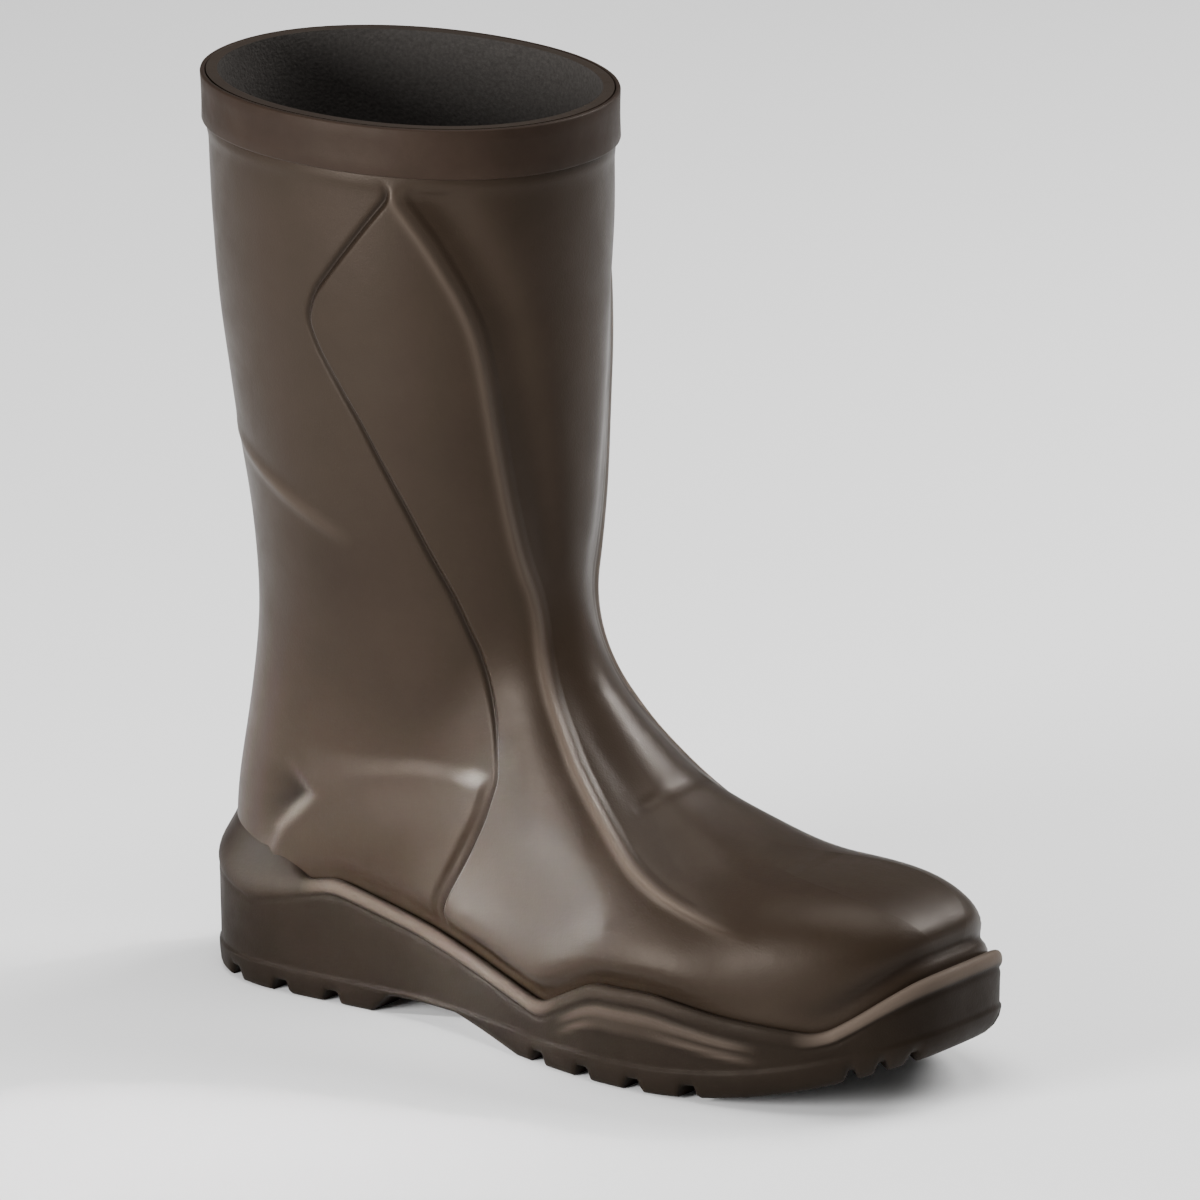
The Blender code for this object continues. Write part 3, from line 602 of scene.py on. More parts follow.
def side_panel(points, x, z, medial, from_rear):
    """Relief and painted light of the side panel: a step behind a groove, a front ridge and a hollow ahead of
    it.
    """
    from_front = -edge_distance(points, x, z, PANEL_FRONT, medial)
    on_leg = fade_in(z, *LEG_IN)
    below_top = fade_out(z, *PANEL_TOP_OUT)
    strength = MEDIAL_STRENGTH if medial else 1
    ridge_end = MEDIAL_RIDGE_OUT if medial else LATERAL_RIDGE_OUT
    behind_toe = fade_out(x * (1 - on_leg), *ridge_end)

    step = fade_in(from_rear, *PANEL_REAR_IN) * fade_in(from_front, *PANEL_FRONT_IN) * behind_toe
    groove = swell(from_rear, *PANEL_GROOVE)
    ridge = swell(from_front, *RIDGE) * behind_toe
    height = PANEL_RELIEF * step - PANEL_GROOVE_DEPTH * groove
    height += strength * foot_to_leg(RIDGE_HEIGHT, on_leg) * ridge

    # The hollow leaves the keel of the shin and the top of the vamp standing between its two sides
    ahead = np.maximum(-from_front, 0)
    off_centre = np.abs(points[..., 1] - centre_line(points[..., 0]))
    hollow = swell(ahead, foot_to_leg(HOLLOW_PLACE, on_leg), foot_to_leg(HOLLOW_WIDTH, on_leg))
    hollow *= behind_toe * fade_in(off_centre, *KEEL_IN)
    height -= strength * foot_to_leg(HOLLOW_DEPTH, on_leg) * hollow * fade_in(ahead, *HOLLOW_IN)

    # Painted highlight along the ridge, and painted shade in the groove and in the hollow
    painted_light = (foot_to_leg(RIDGE_SHINE, on_leg) * ridge - groove) * below_top
    painted_light -= HOLLOW_SHADE * hollow * fade_out(z, *HOLLOW_SHADE_OUT)
    return height * below_top, painted_light


def heel_counter(x, z, from_rear):
    """Relief and painted shade of the heel counter: a swelling with a notched rear edge, clear of the groove.
    """
    top = straight(COUNTER_TOP, "z", x)
    rear = straight(COUNTER_REAR, "x", z)
    softness = straight(COUNTER_SOFTNESS, "run", x)
    counter = fade_in(top - z, -softness / 2, softness) * fade_in(x - rear, *COUNTER_REAR_IN)
    counter *= fade_in(-from_rear, *COUNTER_STRIP_IN)
    swelling = swell(x, *COUNTER_SWELLING_X) * swell(z, *COUNTER_SWELLING_Z)
    notch = swell(rear - x, *HEEL_NOTCH_X) * swell(z, *HEEL_NOTCH_Z) * fade_in(rear - x, *HEEL_NOTCH_IN)
    height = (COUNTER_RELIEF + COUNTER_SWELLING * swelling) * counter - HEEL_NOTCH_DEPTH * notch
    # Painted shade in the notch
    return height, -HEEL_NOTCH_SHADE * notch


def lower_edge(x, above_sole):
    """Relief and painted shade above the sole: a flare along waist and ball, a recess and a brow over the
    bumper.
    """
    flare = fade_in(x, *FLARE_IN) * fade_out(x, *FLARE_OUT) * swell(above_sole, *FLARE)
    at_toe = fade_in(x, *TOE_IN)
    recess = at_toe * swell(above_sole, *RECESS)
    brow = at_toe * swell(above_sole, *BROW)
    # Painted shade in the recess
    return FLARE_HEIGHT * flare - RECESS_DEPTH * recess + BROW_HEIGHT * brow, -RECESS_SHADE * recess


def soft_lines(points, medial):
    """Relief of the ridge across the calf and the crease of the instep, and a painted highlight on the ridge.
    """
    distance, fade = drawn_line(points, CALF_RIDGE, medial)
    calf = swell(distance, *CALF) * fade
    distance, fade = drawn_line(points, INSTEP_CREASE, medial)
    crease = swell(distance, *CREASE) * fade
    # Painted highlight along the calf ridge
    return CALF_HEIGHT * calf - CREASE_DEPTH * crease, CALF_SHINE * calf


def soft_skin(x, z):
    """Relief of the rolled lip under the collar band, and the slight unevenness of a soft moulding."""
    first, second, last = (np.sin(x / along + z / up) for along, up in zip(*WAVES.values()))
    uneven = first * second + LAST_WAVE_SHARE * last
    return COLLAR_LIP_HEIGHT * swell(z, *COLLAR_LIP) + WAVE_HEIGHT * uneven * fade_out(z, *WAVE_OUT)


def upper_relief(points, x, z, medial):
    """How far the upper stands out from its form, and its painted light: highlight above 0 and shade below.
    """
    from_rear = edge_distance(points, x, z, PANEL_REAR, medial)
    above_sole = z - sole_edge(x, medial)
    features = (
        side_panel(points, x, z, medial, from_rear),
        heel_counter(x, z, from_rear),
        lower_edge(x, above_sole),
        soft_lines(points, medial),
        (soft_skin(x, z), 0),
    )
    height, painted_light = (sum(parts) for parts in zip(*features))
    clear_of_sole = fade_in(above_sole, *SOLE_IN)
    return height * clear_of_sole * fade_out(z, *BAND_OUT), painted_light * clear_of_sole


def quads(rows, columns, closed_rows, closed_columns=True):
    """Quads between rows of points, which go round to the first row or column again where they are closed."""
    faces = []
    for a in range(rows if closed_rows else rows - 1):
        b = (a + 1) % rows
        for i in range(columns if closed_columns else columns - 1):
            j = (i + 1) % columns
            faces.append((a * columns + i, a * columns + j, b * columns + j, b * columns + i))
    return faces


def strips(loop, count):
    """Rows of points from the lateral to the medial half of a closed loop, without its own points."""
    half = len(loop) // 2
    lateral, medial = loop[1:half], loop[:half:-1]
    share = np.linspace(0, 1, count + 1)[1:-1, None]
    return lateral[:, None] * (1 - share) + medial[:, None] * share


def strip_faces(around, first, inner, count):
    """Faces that fill a closed loop of points across the rows made by strips()."""
    half = around // 2

    def row(i):
        middle = [inner + (i - 1) * (count - 1) + k for k in range(count - 1)]
        return [first + i, *middle, first + around - i]

    heel, toe = row(1), row(half - 1)
    faces = [(first, heel[k], heel[k + 1]) for k in range(count)]
    faces += [(first + half, toe[k + 1], toe[k]) for k in range(count)]
    for i in range(1, half - 1):
        a, b = row(i), row(i + 1)
        faces += [(a[k], b[k], b[k + 1], a[k + 1]) for k in range(count)]
    return faces


def filled_body(loops, first, last):
    """Points and faces of a body between loops, whose first and last loops are filled by rows of strips()."""
    around = loops.shape[1]
    walls = len(loops) * around
    points = np.concatenate([part.reshape(-1, 3) for part in (loops, first, last)])
    faces = quads(len(loops), around, False)
    faces += strip_faces(around, 0, walls, first.shape[1] + 1)
    faces += strip_faces(around, walls - around, walls + first.size // 3, last.shape[1] + 1)
    return points, faces


def slab(low, high, faces):
    """Points and faces of a closed slab between two sets of points that share their faces."""
    count = len(low)
    edges = {}
    for face in faces:
        for a, b in zip(face, face[1:] + face[:1]):
            edges[frozenset((a, b))] = None if frozenset((a, b)) in edges else (a, b)
    sides = [(e[0], e[1], e[1] + count, e[0] + count) for e in edges.values() if e]
    tops = [tuple(i + count for i in reversed(face)) for face in faces]
    return np.concatenate([low, high]), faces + tops + sides


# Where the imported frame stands: the band's box against the same sizes here
band_low, band_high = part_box("collar_band")
band_local_x = LEG["back"][-1] - GAP - BAND_THICKNESS
band_local_y = (LEG["medial"][-1] - LEG["lateral"][-1]) / 2
PLACE = np.array([band_low.x - band_local_x * MM, (band_low.y + band_high.y) / 2 - band_local_y * MM, 0.0])


def placed(name, data):
    """A new object in the scene."""
    thing = bpy.data.objects.new(name, data)
    bpy.context.scene.collection.objects.link(thing)
    return thing


def make_piece(name, points, faces, node, slot, *materials):
    """A shown mesh that stands for one CAD node and rides on the boot's only body."""
    mesh = bpy.data.meshes.new(name)
    mesh.from_pydata((np.asarray(points) * MM + PLACE).tolist(), [], faces)
    work = bmesh.new()
    work.from_mesh(mesh)
    bmesh.ops.recalc_face_normals(work, faces=work.faces[:])
    work.to_mesh(mesh)
    work.free()
    for material in materials:
        mesh.materials.append(material)
    mesh.shade_smooth()
    mesh.set_sharp_from_angle(angle=math.radians(SHARP_ANGLE))
    piece = placed(name, mesh)
    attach(piece, "root")
    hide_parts(node)
    return piece


def mark(piece, name, values):
    """A value at each point of a piece, for its material to read."""
    attribute = piece.data.attributes.new(name, "FLOAT", "POINT")
    attribute.data.foreach_set("value", np.asarray(values, np.float32))


def make_upper(compound, knit):
    """Hollow upper: outer skin with its relief and painted light, and the inside with its lining."""
    outer_rings = np.linspace(0, 1, OUTER_RINGS + 1)
    x, z = ring_lines(outer_rings, upper_shares(outer_rings))
    sides = []
    for medial in (False, True):
        height, painted_light = upper_relief(on_form(x, z, medial, np.zeros(x.shape)), x, z, medial)
        sides.append((on_form(x, z, medial, height), painted_light))
    outer, painted_light = (closed_loops(*pair) for pair in zip(*sides))
    inner_rings = np.linspace(1, 0, INNER_RINGS + 1) ** INNER_CROWDING
    x, z = ring_lines(inner_rings, upper_shares(inner_rings))
    inner = form_loops(x, z, -WALL)
    inner[0, :, 2] = outer[-1, :, 2]
    inner[-1, :, 2] = outer[0, :, 2]
    loops = np.concatenate([outer, inner])
    around = loops.shape[1]
    faces = quads(len(loops), around, True)
    upper = make_piece("upper_skin", loops.reshape(-1, 3), faces, "upper", "boot_compound", compound, knit)
    # Painted highlight and shade for the colour of the outer skin, none on the inside
    mark(upper, "painted_light", np.concatenate([painted_light.ravel(), np.zeros(len(inner) * around)]))
    inside = np.zeros(len(faces), int)
    inside[len(outer) * around : (len(loops) - 1) * around] = 1
    upper.data.polygons.foreach_set("material_index", inside)


def tread_half(x):
    """Half width of the tread on its narrower side."""
    z = np.full(np.shape(x), HEEL_SEAT)
    return np.minimum(half_width(x, z, False), half_width(x, z, True)) + UPPER_INSET


def beside(x, y, start, end):
    """Distance to the left of a line in the plan."""
    run, rise = end[0] - start[0], end[1] - start[1]
    return (run * (y - start[1]) - rise * (x - start[0])) / math.hypot(run, rise)


def insert_depth(x, y, grow):
    """Distance inside the insert's plan, in terms of the distance y from the centre line."""
    lens = np.minimum(curve(LENS, "half", x) + grow - y, LENS["x"][-1] + grow - x)
    lens = np.minimum(lens, x - ARM["inner_x"][0] - STEM_START)
    inner = list(zip(ARM["inner_x"], ARM["inner_y"]))
    outer = list(zip(ARM["outer_x"], ARM["outer_y"]))
    arm = np.minimum(-beside(x, y, *inner), beside(x, y, *outer))
    arm = np.minimum(arm, -beside(x, y, inner[1], outer[1])) + grow
    return np.maximum(lens, np.where(x < ARM["outer_x"][0], arm, lens))


def within(value, start, end):
    """Distance inside a span, below 0 outside it."""
    return np.minimum(value - start, end - value)


def tread_grooves(x, y):
    """How deep the tread is cut at places of the plan, y measured from the centre line."""
    side, half = np.abs(y), tread_half(x)
    depth = np.zeros(x.shape)

    def groove(inside, deep):
        nonlocal depth
        depth = np.maximum(depth, deep * fade_in(inside, -GROOVE_SLOPE, 2 * GROOVE_SLOPE))

    for start, end, inner, outer, first, count, inner_count in zip(*TREAD.values()):
        groove(np.minimum(within(side, inner * half, outer * half), within(x, start, end)), CHANNEL_DEPTH)
        channel = half * (inner + outer) / 2
        for k in range(int(count)):
            notch = first + k * LUG_PITCH
            groove(np.minimum(within(x, notch, notch + NOTCH_WIDTH), side - channel), NOTCH_DEPTH)
            if k < inner_count:
                notch += LUG_PITCH / 2
                reach = within(side, NOTCH_START, channel)
                groove(np.minimum(within(x, notch, notch + NOTCH_WIDTH), reach), INNER_NOTCH_DEPTH)
    for apex, reach, slope in zip(*CHEVRONS.values()):
        ahead = (x - apex - slope * side) / math.hypot(1, slope)
        wide = CHEVRON_WIDTH / math.hypot(1, slope)
        groove(np.minimum(within(ahead, 0, wide), reach - side), CHEVRON_DEPTH)
    groove(insert_depth(x, side, GAP), INSERT_RECESS + INSERT_THICKNESS + GAP)
    return depth


def tread_height(x, y):
    """Height of the finished tread at places of the plan."""
    in_plan = y - centre_line(x)
    depth = tread_grooves(x, in_plan)
    lens = insert_depth(x, np.abs(in_plan), GAP) > -GROOVE_SLOPE
    return np.where(lens, tread_level(x) + depth, np.maximum(tread_level(x), sole_bottom(x) + depth))


def petal_ribs(x, z, edge, medial):
    """Ribs that follow the top edge of the forefoot petal on the lateral side."""
    if medial:
        return np.zeros(z.shape)
    window = fade_in(x, PETAL_START, PETAL_FADE) * fade_out(x, PETAL_END, PETAL_FADE)
    ribs = zip(*PETAL_RIBS.values())
    return window * sum(height * swell(z, edge - drop, width) for drop, height, width in ribs)


def sole_side(stations, medial):
    """One side of the sole: from the tread's edge up its outer face, over the rim and down to the seat, with
    the painted highlight on its bead and ribs.
    """
    plan_x = UPPER_INSET + UPPER_LENGTH * stations
    bevel = TOE_BEVEL * toe_rise(plan_x)
    foot = on_form(across(0 * plan_x, stations), 0 * plan_x, medial, LOW_ROWS["offset"][0] - bevel)
    bottom = tread_height(foot[:, 0], foot[:, 1])
    line = np.maximum(sole_bottom(plan_x) + LUG_LINE_Z, bottom + LEAST_LUG)
    low = bottom + (line - bottom) * LOW_ROWS["share"][:, None]
    edge = sole_edge(plan_x, medial)
    middle = line + MIDDLE_ROWS["rise"][:, None] - LUG_LINE_Z
    room = np.clip((edge - middle[-1] - ROOM_GAP) / -TOP_ROWS["rise"].min(), LEAST_ROOM, 1)
    heel = fade_out(plan_x, HEEL_SLOPE_END, HEEL_SLOPE_FADE)
    top = edge + TOP_ROWS["rise"][:, None] * room + TOP_ROWS["slope"][:, None] * heel
    between = np.linspace(0, 1, SIDE_WALL_ROWS + 2)[1:-1, None]
    wall = middle[-1] + (top[0] - middle[-1]) * between
    inside = top[-1] + (footbed(plan_x) - top[-1]) * np.linspace(0, 1, SEAT_ROWS + 1)[1:, None]
    z = np.concatenate([low, middle, wall, top, inside])
    wall_offset = np.interp(between[:, 0], (0, 1), (MIDDLE_ROWS["offset"][-1], TOP_ROWS["plain"][0]))
    plain = [LOW_ROWS["offset"], MIDDLE_ROWS["offset"], wall_offset, TOP_ROWS["plain"]]
    plain.append(np.full(SEAT_ROWS, -CUP_GAP))
    offset = np.repeat(np.concatenate(plain)[:, None], len(stations), 1)
    offset[: len(low)] -= bevel * (1 - LOW_ROWS["share"][:, None]) ** 2
    bead = straight(BEAD, "medial" if medial else "lateral", plan_x)
    rim = slice(-SEAT_ROWS - len(top), -SEAT_ROWS)
    offset[rim] += TOP_ROWS["bead"][:, None] * bead
    face = slice(len(low) + len(middle), -SEAT_ROWS - len(top) + RIBBED_TOP_ROWS)
    ribs = petal_ribs(plan_x, z[face], edge, medial)
    offset[face] += ribs
    # Painted highlight along the bead's crest and on the petal ribs
    painted_highlight = np.zeros(z.shape)
    painted_highlight[rim] = np.clip(TOP_ROWS["bead"][:, None], 0, 1) * straight(BEAD, "shine", plan_x)
    painted_highlight[face] += ribs
    return on_form(across(z, stations), z, medial, offset), painted_highlight


def make_outsole(compound):
    """Cup sole: side wall with its bead, ribs and toe bumper, the lugged tread and the seat."""
    stations = even_stations(SOLE_STATIONS)
    sides = [sole_side(stations, medial) for medial in (False, True)]
    loops, painted_highlight = (closed_loops(*pair) for pair in zip(*sides))
    under = strips(loops[0], TREAD_STRIPS)
    under[..., 2] = tread_height(under[..., 0], under[..., 1])
    points, faces = filled_body(loops, under, strips(loops[-1], PLAIN_STRIPS))
    outsole = make_piece("outsole_body", points, faces, "outsole", "sole_compound", compound)
    # Painted highlight for the colour of the side wall, none on the tread and the seat
    mark(outsole, "painted_light", np.concatenate([painted_highlight.ravel(), np.zeros(len(points) - painted_highlight.size)]))


def insert_strip():
    """Plan of the insert as points and faces: rows across stem and lens, then rows out along each arm."""
    tip, start, end = ARM["inner_x"][0], LENS["x"][0], LENS["x"][-1]
    stem = np.linspace(tip, start, ARM_COLUMNS + 1)[1:]
    x = np.concatenate([stem, np.linspace(start, end, LENS_ROWS + 1)[1:]])
    half = np.where(x < start, LENS["half"][0] * (x - tip) / (start - tip), curve(LENS, "half", x))
    share = np.linspace(-1, 1, LENS_COLUMNS + 1)
    points = [(tip, 0.0, 0.0)]
    points += [(a, h * b, h * (1 - abs(b))) for a, h in zip(x, half) for b in share]
    wide = LENS_COLUMNS + 1
    faces = [(0, 1 + k, 2 + k) for k in range(LENS_COLUMNS)]
    faces += [tuple(1 + i for i in face) for face in quads(len(x), wide, False, False)]
    for side, edge in ((-1, 0), (1, LENS_COLUMNS)):
        rows = [[0] + [1 + r * wide + edge for r in range(ARM_COLUMNS)]]
        root = np.array([points[i][:2] for i in rows[0]])
        inner = np.array((ARM["inner_x"][1], side * ARM["inner_y"][1]))
        outer = np.array((ARM["outer_x"][1], side * ARM["outer_y"][1]))
        across_arm = np.linspace(0, 1, ARM_COLUMNS + 1)[:, None]
        tail = inner + (outer - inner) * across_arm
        for t in np.linspace(0, 1, ARM_ROWS + 1)[1:]:
            line = root + (tail - root) * t
            width = np.linalg.norm(line[-1] - line[0])
            rows.append(list(range(len(points), len(points) + ARM_COLUMNS + 1)))
            points += [(*p, width * min(b, 1 - b)) for p, b in zip(line, across_arm[:, 0])]
        for a, b in zip(rows, rows[1:]):
            faces += [(a[k], a[k + 1], b[k + 1], b[k]) for k in range(ARM_COLUMNS)]
    return np.array(points), faces


def make_insert(compound):
    """Red insert: a lens with V ribs, its stem and its two arms."""
    plan, faces = insert_strip()
    x, y, from_edge = plan.T
    low = tread_level(x) + INSERT_RECESS
    rib = np.mod(x - RIB_SLOPE * np.abs(y), RIB_PITCH) - RIB_PITCH / 2
    on_lens = fade_in(x, *RIBS_IN) * fade_in(from_edge, *RIBS_EDGE_IN)
    rounding = INSERT_ROUNDING * fade_out(from_edge, INSERT_ROUNDING_RUN, INSERT_ROUNDING_RUN)
    visible = low - RIB_HEIGHT * swell(rib, 0, RIB_WIDTH) * on_lens + rounding
    y = y + centre_line(x)
    low_points = np.column_stack([x, y, visible])
    high_points = np.column_stack([x, y, low + INSERT_THICKNESS])
    points, faces = slab(low_points, high_points, faces)
    make_piece("insert_inlay", points, faces, "tread_insert", "insert_compound", compound)


def make_insole(foam):
    """Loose footbed with rounded edges and a shallow heel cup."""
    stations = even_stations(INSOLE_STATIONS)
    bed = footbed(UPPER_INSET + UPPER_LENGTH * stations)[None, :] + GAP
    top = INSOLE_THICKNESS
    section = ((0.0, 1.2), (0.6, 0.3), (1.6, 0.0), (top - 1.6, 0.0), (top - 0.5, 0.5), (top - 0.1, 1.4))
    rise, inset = np.array(section).T[..., None]
    z = bed + rise
    loops = form_loops(across(z, stations), z, -WALL - 2 * GAP - inset)
    over = strips(loops[-1], INSOLE_STRIPS)
    rim = np.linspace(-1, 1, INSOLE_STRIPS + 1)[1:-1]
    cup = fade_out(over[..., 0], *HEEL_CUP_OUT) * (1 - rim**HEEL_CUP_POWER)
    over[..., 2] -= HEEL_CUP_DEPTH * cup
    points, faces = filled_body(loops, strips(loops[0], PLAIN_STRIPS), over)
    make_piece("insole_bed", points, faces, "insole", "insole_foam", foam)


def make_band(tape):
    """Flat band around the collar with soft edges and a slightly hollow face."""
    stations = crowded(BAND_STATIONS)
    foot, top = BAND_FOOT, COLLAR_HEIGHT
    inside, outside = GAP, GAP + BAND_THICKNESS
    section = (
        (foot + 0.5, inside), (foot, inside + 0.5), (foot, outside - 0.6), (foot + 0.25, outside - 0.2),
        (foot + 0.8, outside), (foot + 5.0, outside - 0.15), (foot + 9.0, outside - 0.2),
        (top - 5.0, outside - 0.15), (top - 0.8, outside), (top - 0.25, outside - 0.2),
        (top, outside - 0.6), (top, inside + 0.4), (top - 0.4, inside),
    )
    height, offset = np.array(section).T[..., None]
    z = height + 0 * stations
    loops = form_loops(across(z, stations), z, offset)
    loops[..., 2] = height
    faces = quads(len(loops), loops.shape[1], True)
    make_piece("band_tape", loops.reshape(-1, 3), faces, "collar_band", "band_rubber", tape)


# Looks that the materials share: the tint of their sheen, the used middle of a noise, and the colours of
# painted highlight and painted shade
WARM_TINT = (1.0, 0.86, 0.74, 1.0)
NOISE_LOW, NOISE_HIGH = 0.3, 0.7
PAINTED_HIGHLIGHT_COLOUR, PAINTED_HIGHLIGHT_SHARE = (0.110, 0.084, 0.066), 0.5
PAINTED_SHADE_COLOUR, PAINTED_SHADE_SHARE = (0.006, 0.004, 0.003), -0.7


class Nodes:
    """A material's node tree, wired by short calls."""

    def __init__(self, name, sheen=0.10):
        self.material = bpy.data.materials.new(name)
        self.material.use_nodes = True
        self.tree = self.material.node_tree
        self.shader = self.tree.nodes["Principled BSDF"]
        self.shader.inputs["Specular IOR Level"].default_value = sheen
        self.shader.inputs["Specular Tint"].default_value = WARM_TINT

    def add(self, kind, values, **settings):
        """A node with the values of its sockets and its other settings."""
        node = self.tree.nodes.new(kind)
        for name, value in settings.items():
            setattr(node, name, value)
        for socket, value in values.items():
            node.inputs[socket].default_value = value
        return node

    def join(self, output, target):
        self.tree.links.new(output, target)

    def noise(self, scale, detail, rough=0.5):
        """A noise fixed to the piece, with its scale, its detail and how rough it is."""
        place = self.add("ShaderNodeTexCoord", {})
        node = self.add("ShaderNodeTexNoise", {"Scale": scale, "Detail": detail, "Roughness": rough})
        self.join(place.outputs["Object"], node.inputs["Vector"])
        return node.outputs["Fac"]

    def spread(self, value, low, high):
        """The middle of a noise's range stretched from low to high."""
        limits = {"From Min": NOISE_LOW, "From Max": NOISE_HIGH, "To Min": low, "To Max": high}
        node = self.add("ShaderNodeMapRange", limits)
        self.join(value, node.inputs["Value"])
        return node.outputs["Result"]

    def mix(self, share, first, second):
        """Two colours mixed by a value; the first is a plain colour or another node's output."""
        node = self.add("ShaderNodeMix", {}, data_type="RGBA")
        self.join(share, node.inputs["Factor"])
        a, b = (socket for socket in node.inputs if socket.type == "RGBA")
        b.default_value = (*second, 1)
        if isinstance(first, tuple):
            a.default_value = (*first, 1)
        else:
            self.join(first, a)
        return next(s for s in node.outputs if s.type == "RGBA")

    def bumps(self, *layers):
        """Stacked bumps of noise, each with its scale, its detail and its height in metres."""
        below = None
        for scale, detail, height in layers:
            node = self.add("ShaderNodeBump", {"Strength": 1.0, "Distance": height})
            self.join(self.noise(scale, detail), node.inputs["Height"])
            if below:
                self.join(below, node.inputs["Normal"])
            below = node.outputs["Normal"]
        self.join(below, self.shader.inputs["Normal"])

    def painted_light(self, colour):
        """The colour with a painted highlight along the piece's crests and painted shade in its grooves and
        hollows.
        """
        attribute = self.add("ShaderNodeAttribute", {}, attribute_name="painted_light")
        for painted_colour, share in ((PAINTED_HIGHLIGHT_COLOUR, PAINTED_HIGHLIGHT_SHARE), (PAINTED_SHADE_COLOUR, PAINTED_SHADE_SHARE)):
            node = self.add("ShaderNodeMath", {1: share}, operation="MULTIPLY", use_clamp=True)
            self.join(attribute.outputs["Fac"], node.inputs[0])
            colour = self.mix(node.outputs[0], colour, painted_colour)
        return colour

    def colour(self, clouds, dark, light, with_painted_light=False):
        """A base colour that a noise drifts between two shades, with the painted highlight and shade of a
        piece that has them.
        """
        shade = self.mix(self.spread(self.noise(*clouds), 0.0, 1.0), dark, light)
        self.join(self.painted_light(shade) if with_painted_light else shade, self.shader.inputs["Base Color"])

    def roughness(self, patches, low, high):
        """A roughness that a noise drifts between two values."""
        self.join(self.spread(self.noise(*patches), low, high), self.shader.inputs["Roughness"])

    def even_roughness(self, value):
        """One roughness all over."""
        self.shader.inputs["Roughness"].default_value = value


def boot_compound():
    """Satin moulded polyurethane in dark brown grey, with a fine grain, a faint cloudy tone, and painted
    highlight and shade along its relief.
    """
    nodes = Nodes("boot_compound_look", sheen=0.14)
    nodes.colour((14, 4, 0.6), dark=(0.0150, 0.0097, 0.0063), light=(0.0205, 0.0135, 0.0089), with_painted_light=True)
    nodes.roughness((60, 5, 0.6), low=0.36, high=0.46)
    nodes.bumps((90, 3, 0.00012), (1500, 2, 0.00005))
    return nodes.material


def sole_compound():
    """Matt sole compound, a little darker and dustier than the upper, with painted highlight on its bead and
    ribs.
    """
    nodes = Nodes("sole_compound_look", sheen=0.08)
    nodes.colour((22, 5, 0.65), dark=(0.0074, 0.0050, 0.0033), light=(0.0114, 0.0078, 0.0053), with_painted_light=True)
    nodes.roughness((80, 4, 0.6), low=0.48, high=0.62)
    nodes.bumps((140, 3, 0.00012), (1300, 2, 0.00007))
    return nodes.material


def lining():
    """Knitted lining of the inside, in dark grey."""
    nodes = Nodes("lining_look")
    nodes.colour((700, 3, 0.6), dark=(0.034, 0.031, 0.029), light=(0.050, 0.046, 0.043))
    nodes.even_roughness(0.92)
    nodes.bumps((900, 2, 0.0003))
    return nodes.material


def insole_foam():
    """Dark felted foam of the insole."""
    nodes = Nodes("insole_foam_look")
    nodes.colour((420, 4, 0.7), dark=(0.040, 0.038, 0.036), light=(0.085, 0.080, 0.074))
    nodes.even_roughness(0.95)
    nodes.bumps((800, 3, 0.0003))
    return nodes.material


def band_rubber():
    """Smooth dark brown tape of the collar band."""
    nodes = Nodes("band_rubber_look")
    nodes.colour((30, 4, 0.6), dark=(0.015, 0.0094, 0.0066), light=(0.022, 0.0139, 0.0100))
    nodes.roughness((70, 4, 0.6), low=0.45, high=0.58)
    nodes.bumps((80, 3, 0.00025), (1800, 2, 0.00003))
    return nodes.material


def insert_compound():
    """Soft coral red compound of the tread insert."""
    nodes = Nodes("insert_compound_look")
    nodes.colour((40, 4, 0.6), dark=(0.66, 0.085, 0.055), light=(0.76, 0.115, 0.080))
    nodes.roughness((90, 4, 0.6), low=0.42, high=0.55)
    nodes.bumps((1200, 2, 0.00006))
    return nodes.material


def floor_finish():
    """Plain pale floor of the studio."""
    nodes = Nodes("floor_look")
    nodes.colour((3, 3, 0.5), dark=(0.88, 0.88, 0.88), light=(0.90, 0.90, 0.90))
    nodes.even_roughness(0.8)
    return nodes.material


# Studio in metres: wide lamps on the whole boot and two narrow beams, in the order of add_light()
FLOOR_REACH = 8.0
SURROUND_STRENGTH = 0.26
BOOT_MIDDLE, LOW_PANEL, INSTEP = (0.0, 0.0, 0.14), (-0.060, -0.045, 0.065), (0.008, 0.0, 0.115)
WIDE = 180
LIGHTS = (
    ("key", -16, 12, 1.7, 0.8, 56, BOOT_MIDDLE, WIDE),
    ("foot", -58, 14, 1.2, 0.10, 0.16, LOW_PANEL, 5),
    ("painted_highlight", 152, 39, 1.8, 1.1, 40, BOOT_MIDDLE, WIDE),
    ("instep", 148, 39, 1.2, 0.26, 0.16, INSTEP, 8),
    ("overhead", 0, 88, 3.0, 2.4, 84, BOOT_MIDDLE, WIDE),
)

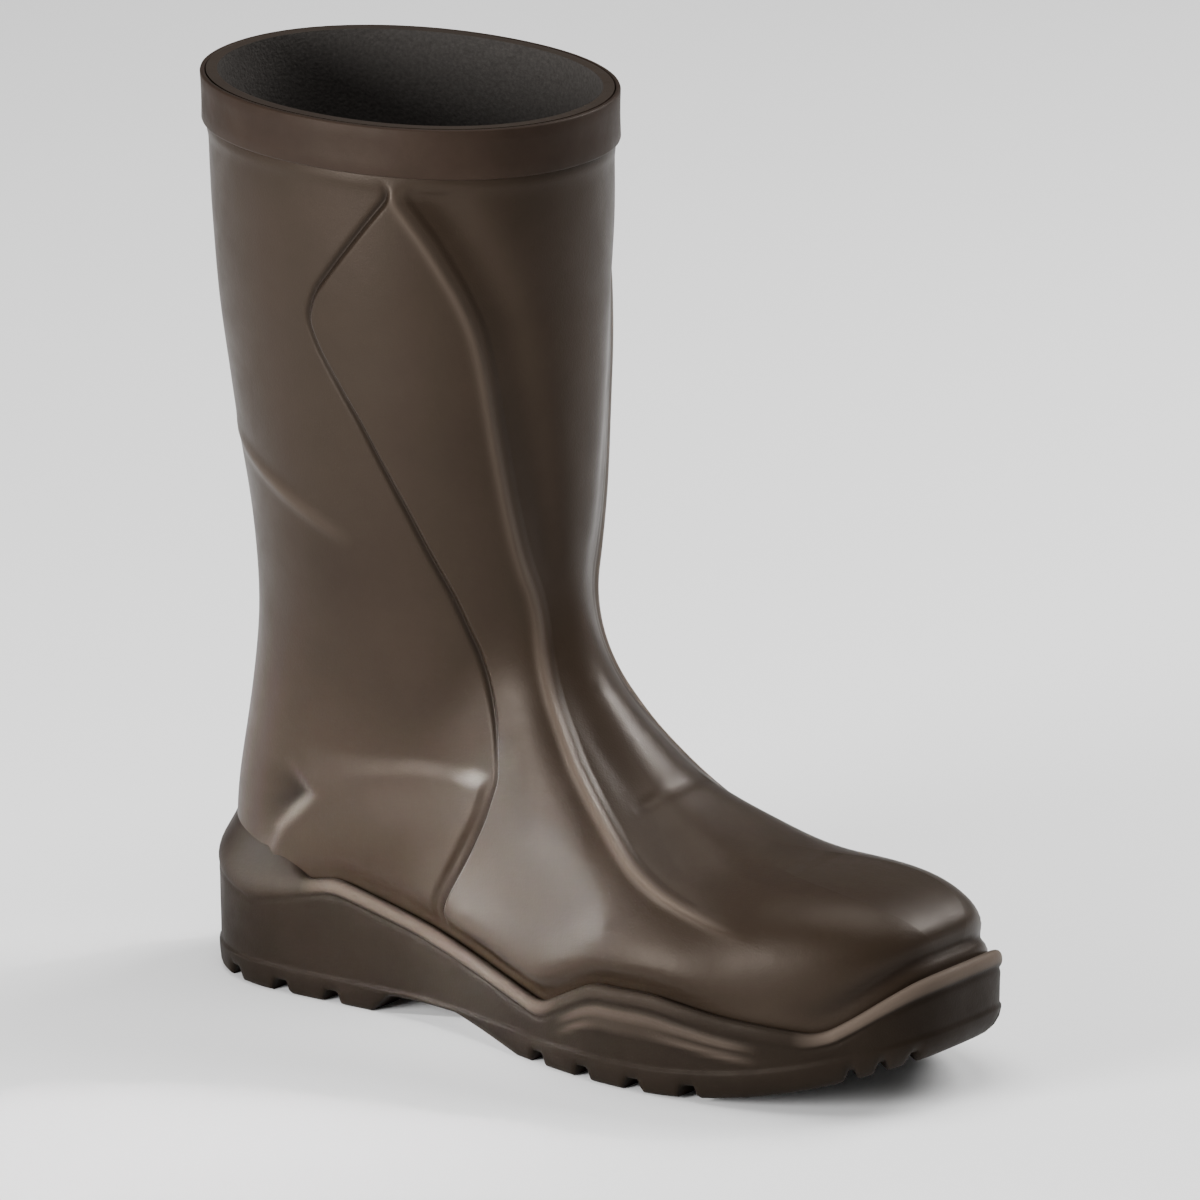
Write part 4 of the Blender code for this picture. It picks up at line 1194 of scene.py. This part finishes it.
# Camera of the photo: turned round towards the toe and raised a little
VIEW_AZIMUTH, VIEW_ELEVATION, VIEW_DISTANCE = 37.0, 17.0, 7.0
VIEW_TARGET = (0.003, 0.0, 0.156)
VIEW_HEIGHT = 0.42
SENSOR_WIDTH = 36.0


def make_stage():
    """Pale floor and an even pale surround."""
    reach = FLOOR_REACH
    mesh = bpy.data.meshes.new("floor")
    corners = [(-reach, -reach, 0), (reach, -reach, 0), (reach, reach, 0), (-reach, reach, 0)]
    mesh.from_pydata(corners, [], [(0, 1, 2, 3)])
    mesh.materials.append(floor_finish())
    floor = placed("floor", mesh)
    world = bpy.data.worlds.new("surround")
    world.use_nodes = True
    bpy.context.scene.world = world
    background = world.node_tree.nodes["Background"]
    background.inputs["Color"].default_value = (1, 1, 1, 1)
    background.inputs["Strength"].default_value = SURROUND_STRENGTH


def from_angle(azimuth, elevation, distance, target):
    """A place seen from the target at an azimuth, an elevation and a distance."""
    a, e = math.radians(azimuth), math.radians(elevation)
    way = Vector((math.sin(a) * math.cos(e), -math.cos(a) * math.cos(e), math.sin(e)))
    return Vector(target) + way * distance


def aim(thing, target):
    thing.rotation_euler = (Vector(target) - thing.location).to_track_quat("-Z", "Y").to_euler()


def add_light(name, azimuth, elevation, distance, size, power, target, spread):
    """A soft disc of light that faces its target; its spread is in degrees."""
    lamp = bpy.data.lights.new(name, "AREA")
    lamp.shape = "DISK"
    lamp.size = size
    lamp.energy = power
    lamp.spread = math.radians(spread)
    light = placed(name, lamp)
    light.location = from_angle(azimuth, elevation, distance, target)
    aim(light, target)


def add_camera():
    """The camera of the photo, framed on the one boot."""
    data = bpy.data.cameras.new("camera")
    data.sensor_width = SENSOR_WIDTH
    data.lens = SENSOR_WIDTH * VIEW_DISTANCE / VIEW_HEIGHT
    camera = placed("camera", data)
    camera.location = from_angle(VIEW_AZIMUTH, VIEW_ELEVATION, VIEW_DISTANCE, VIEW_TARGET)
    aim(camera, VIEW_TARGET)
    bpy.context.scene.camera = camera


make_upper(boot_compound(), lining())
make_outsole(sole_compound())
make_insert(insert_compound())
make_insole(insole_foam())
make_band(band_rubber())
make_stage()
for lamp in LIGHTS:
    add_light(*lamp)
add_camera()
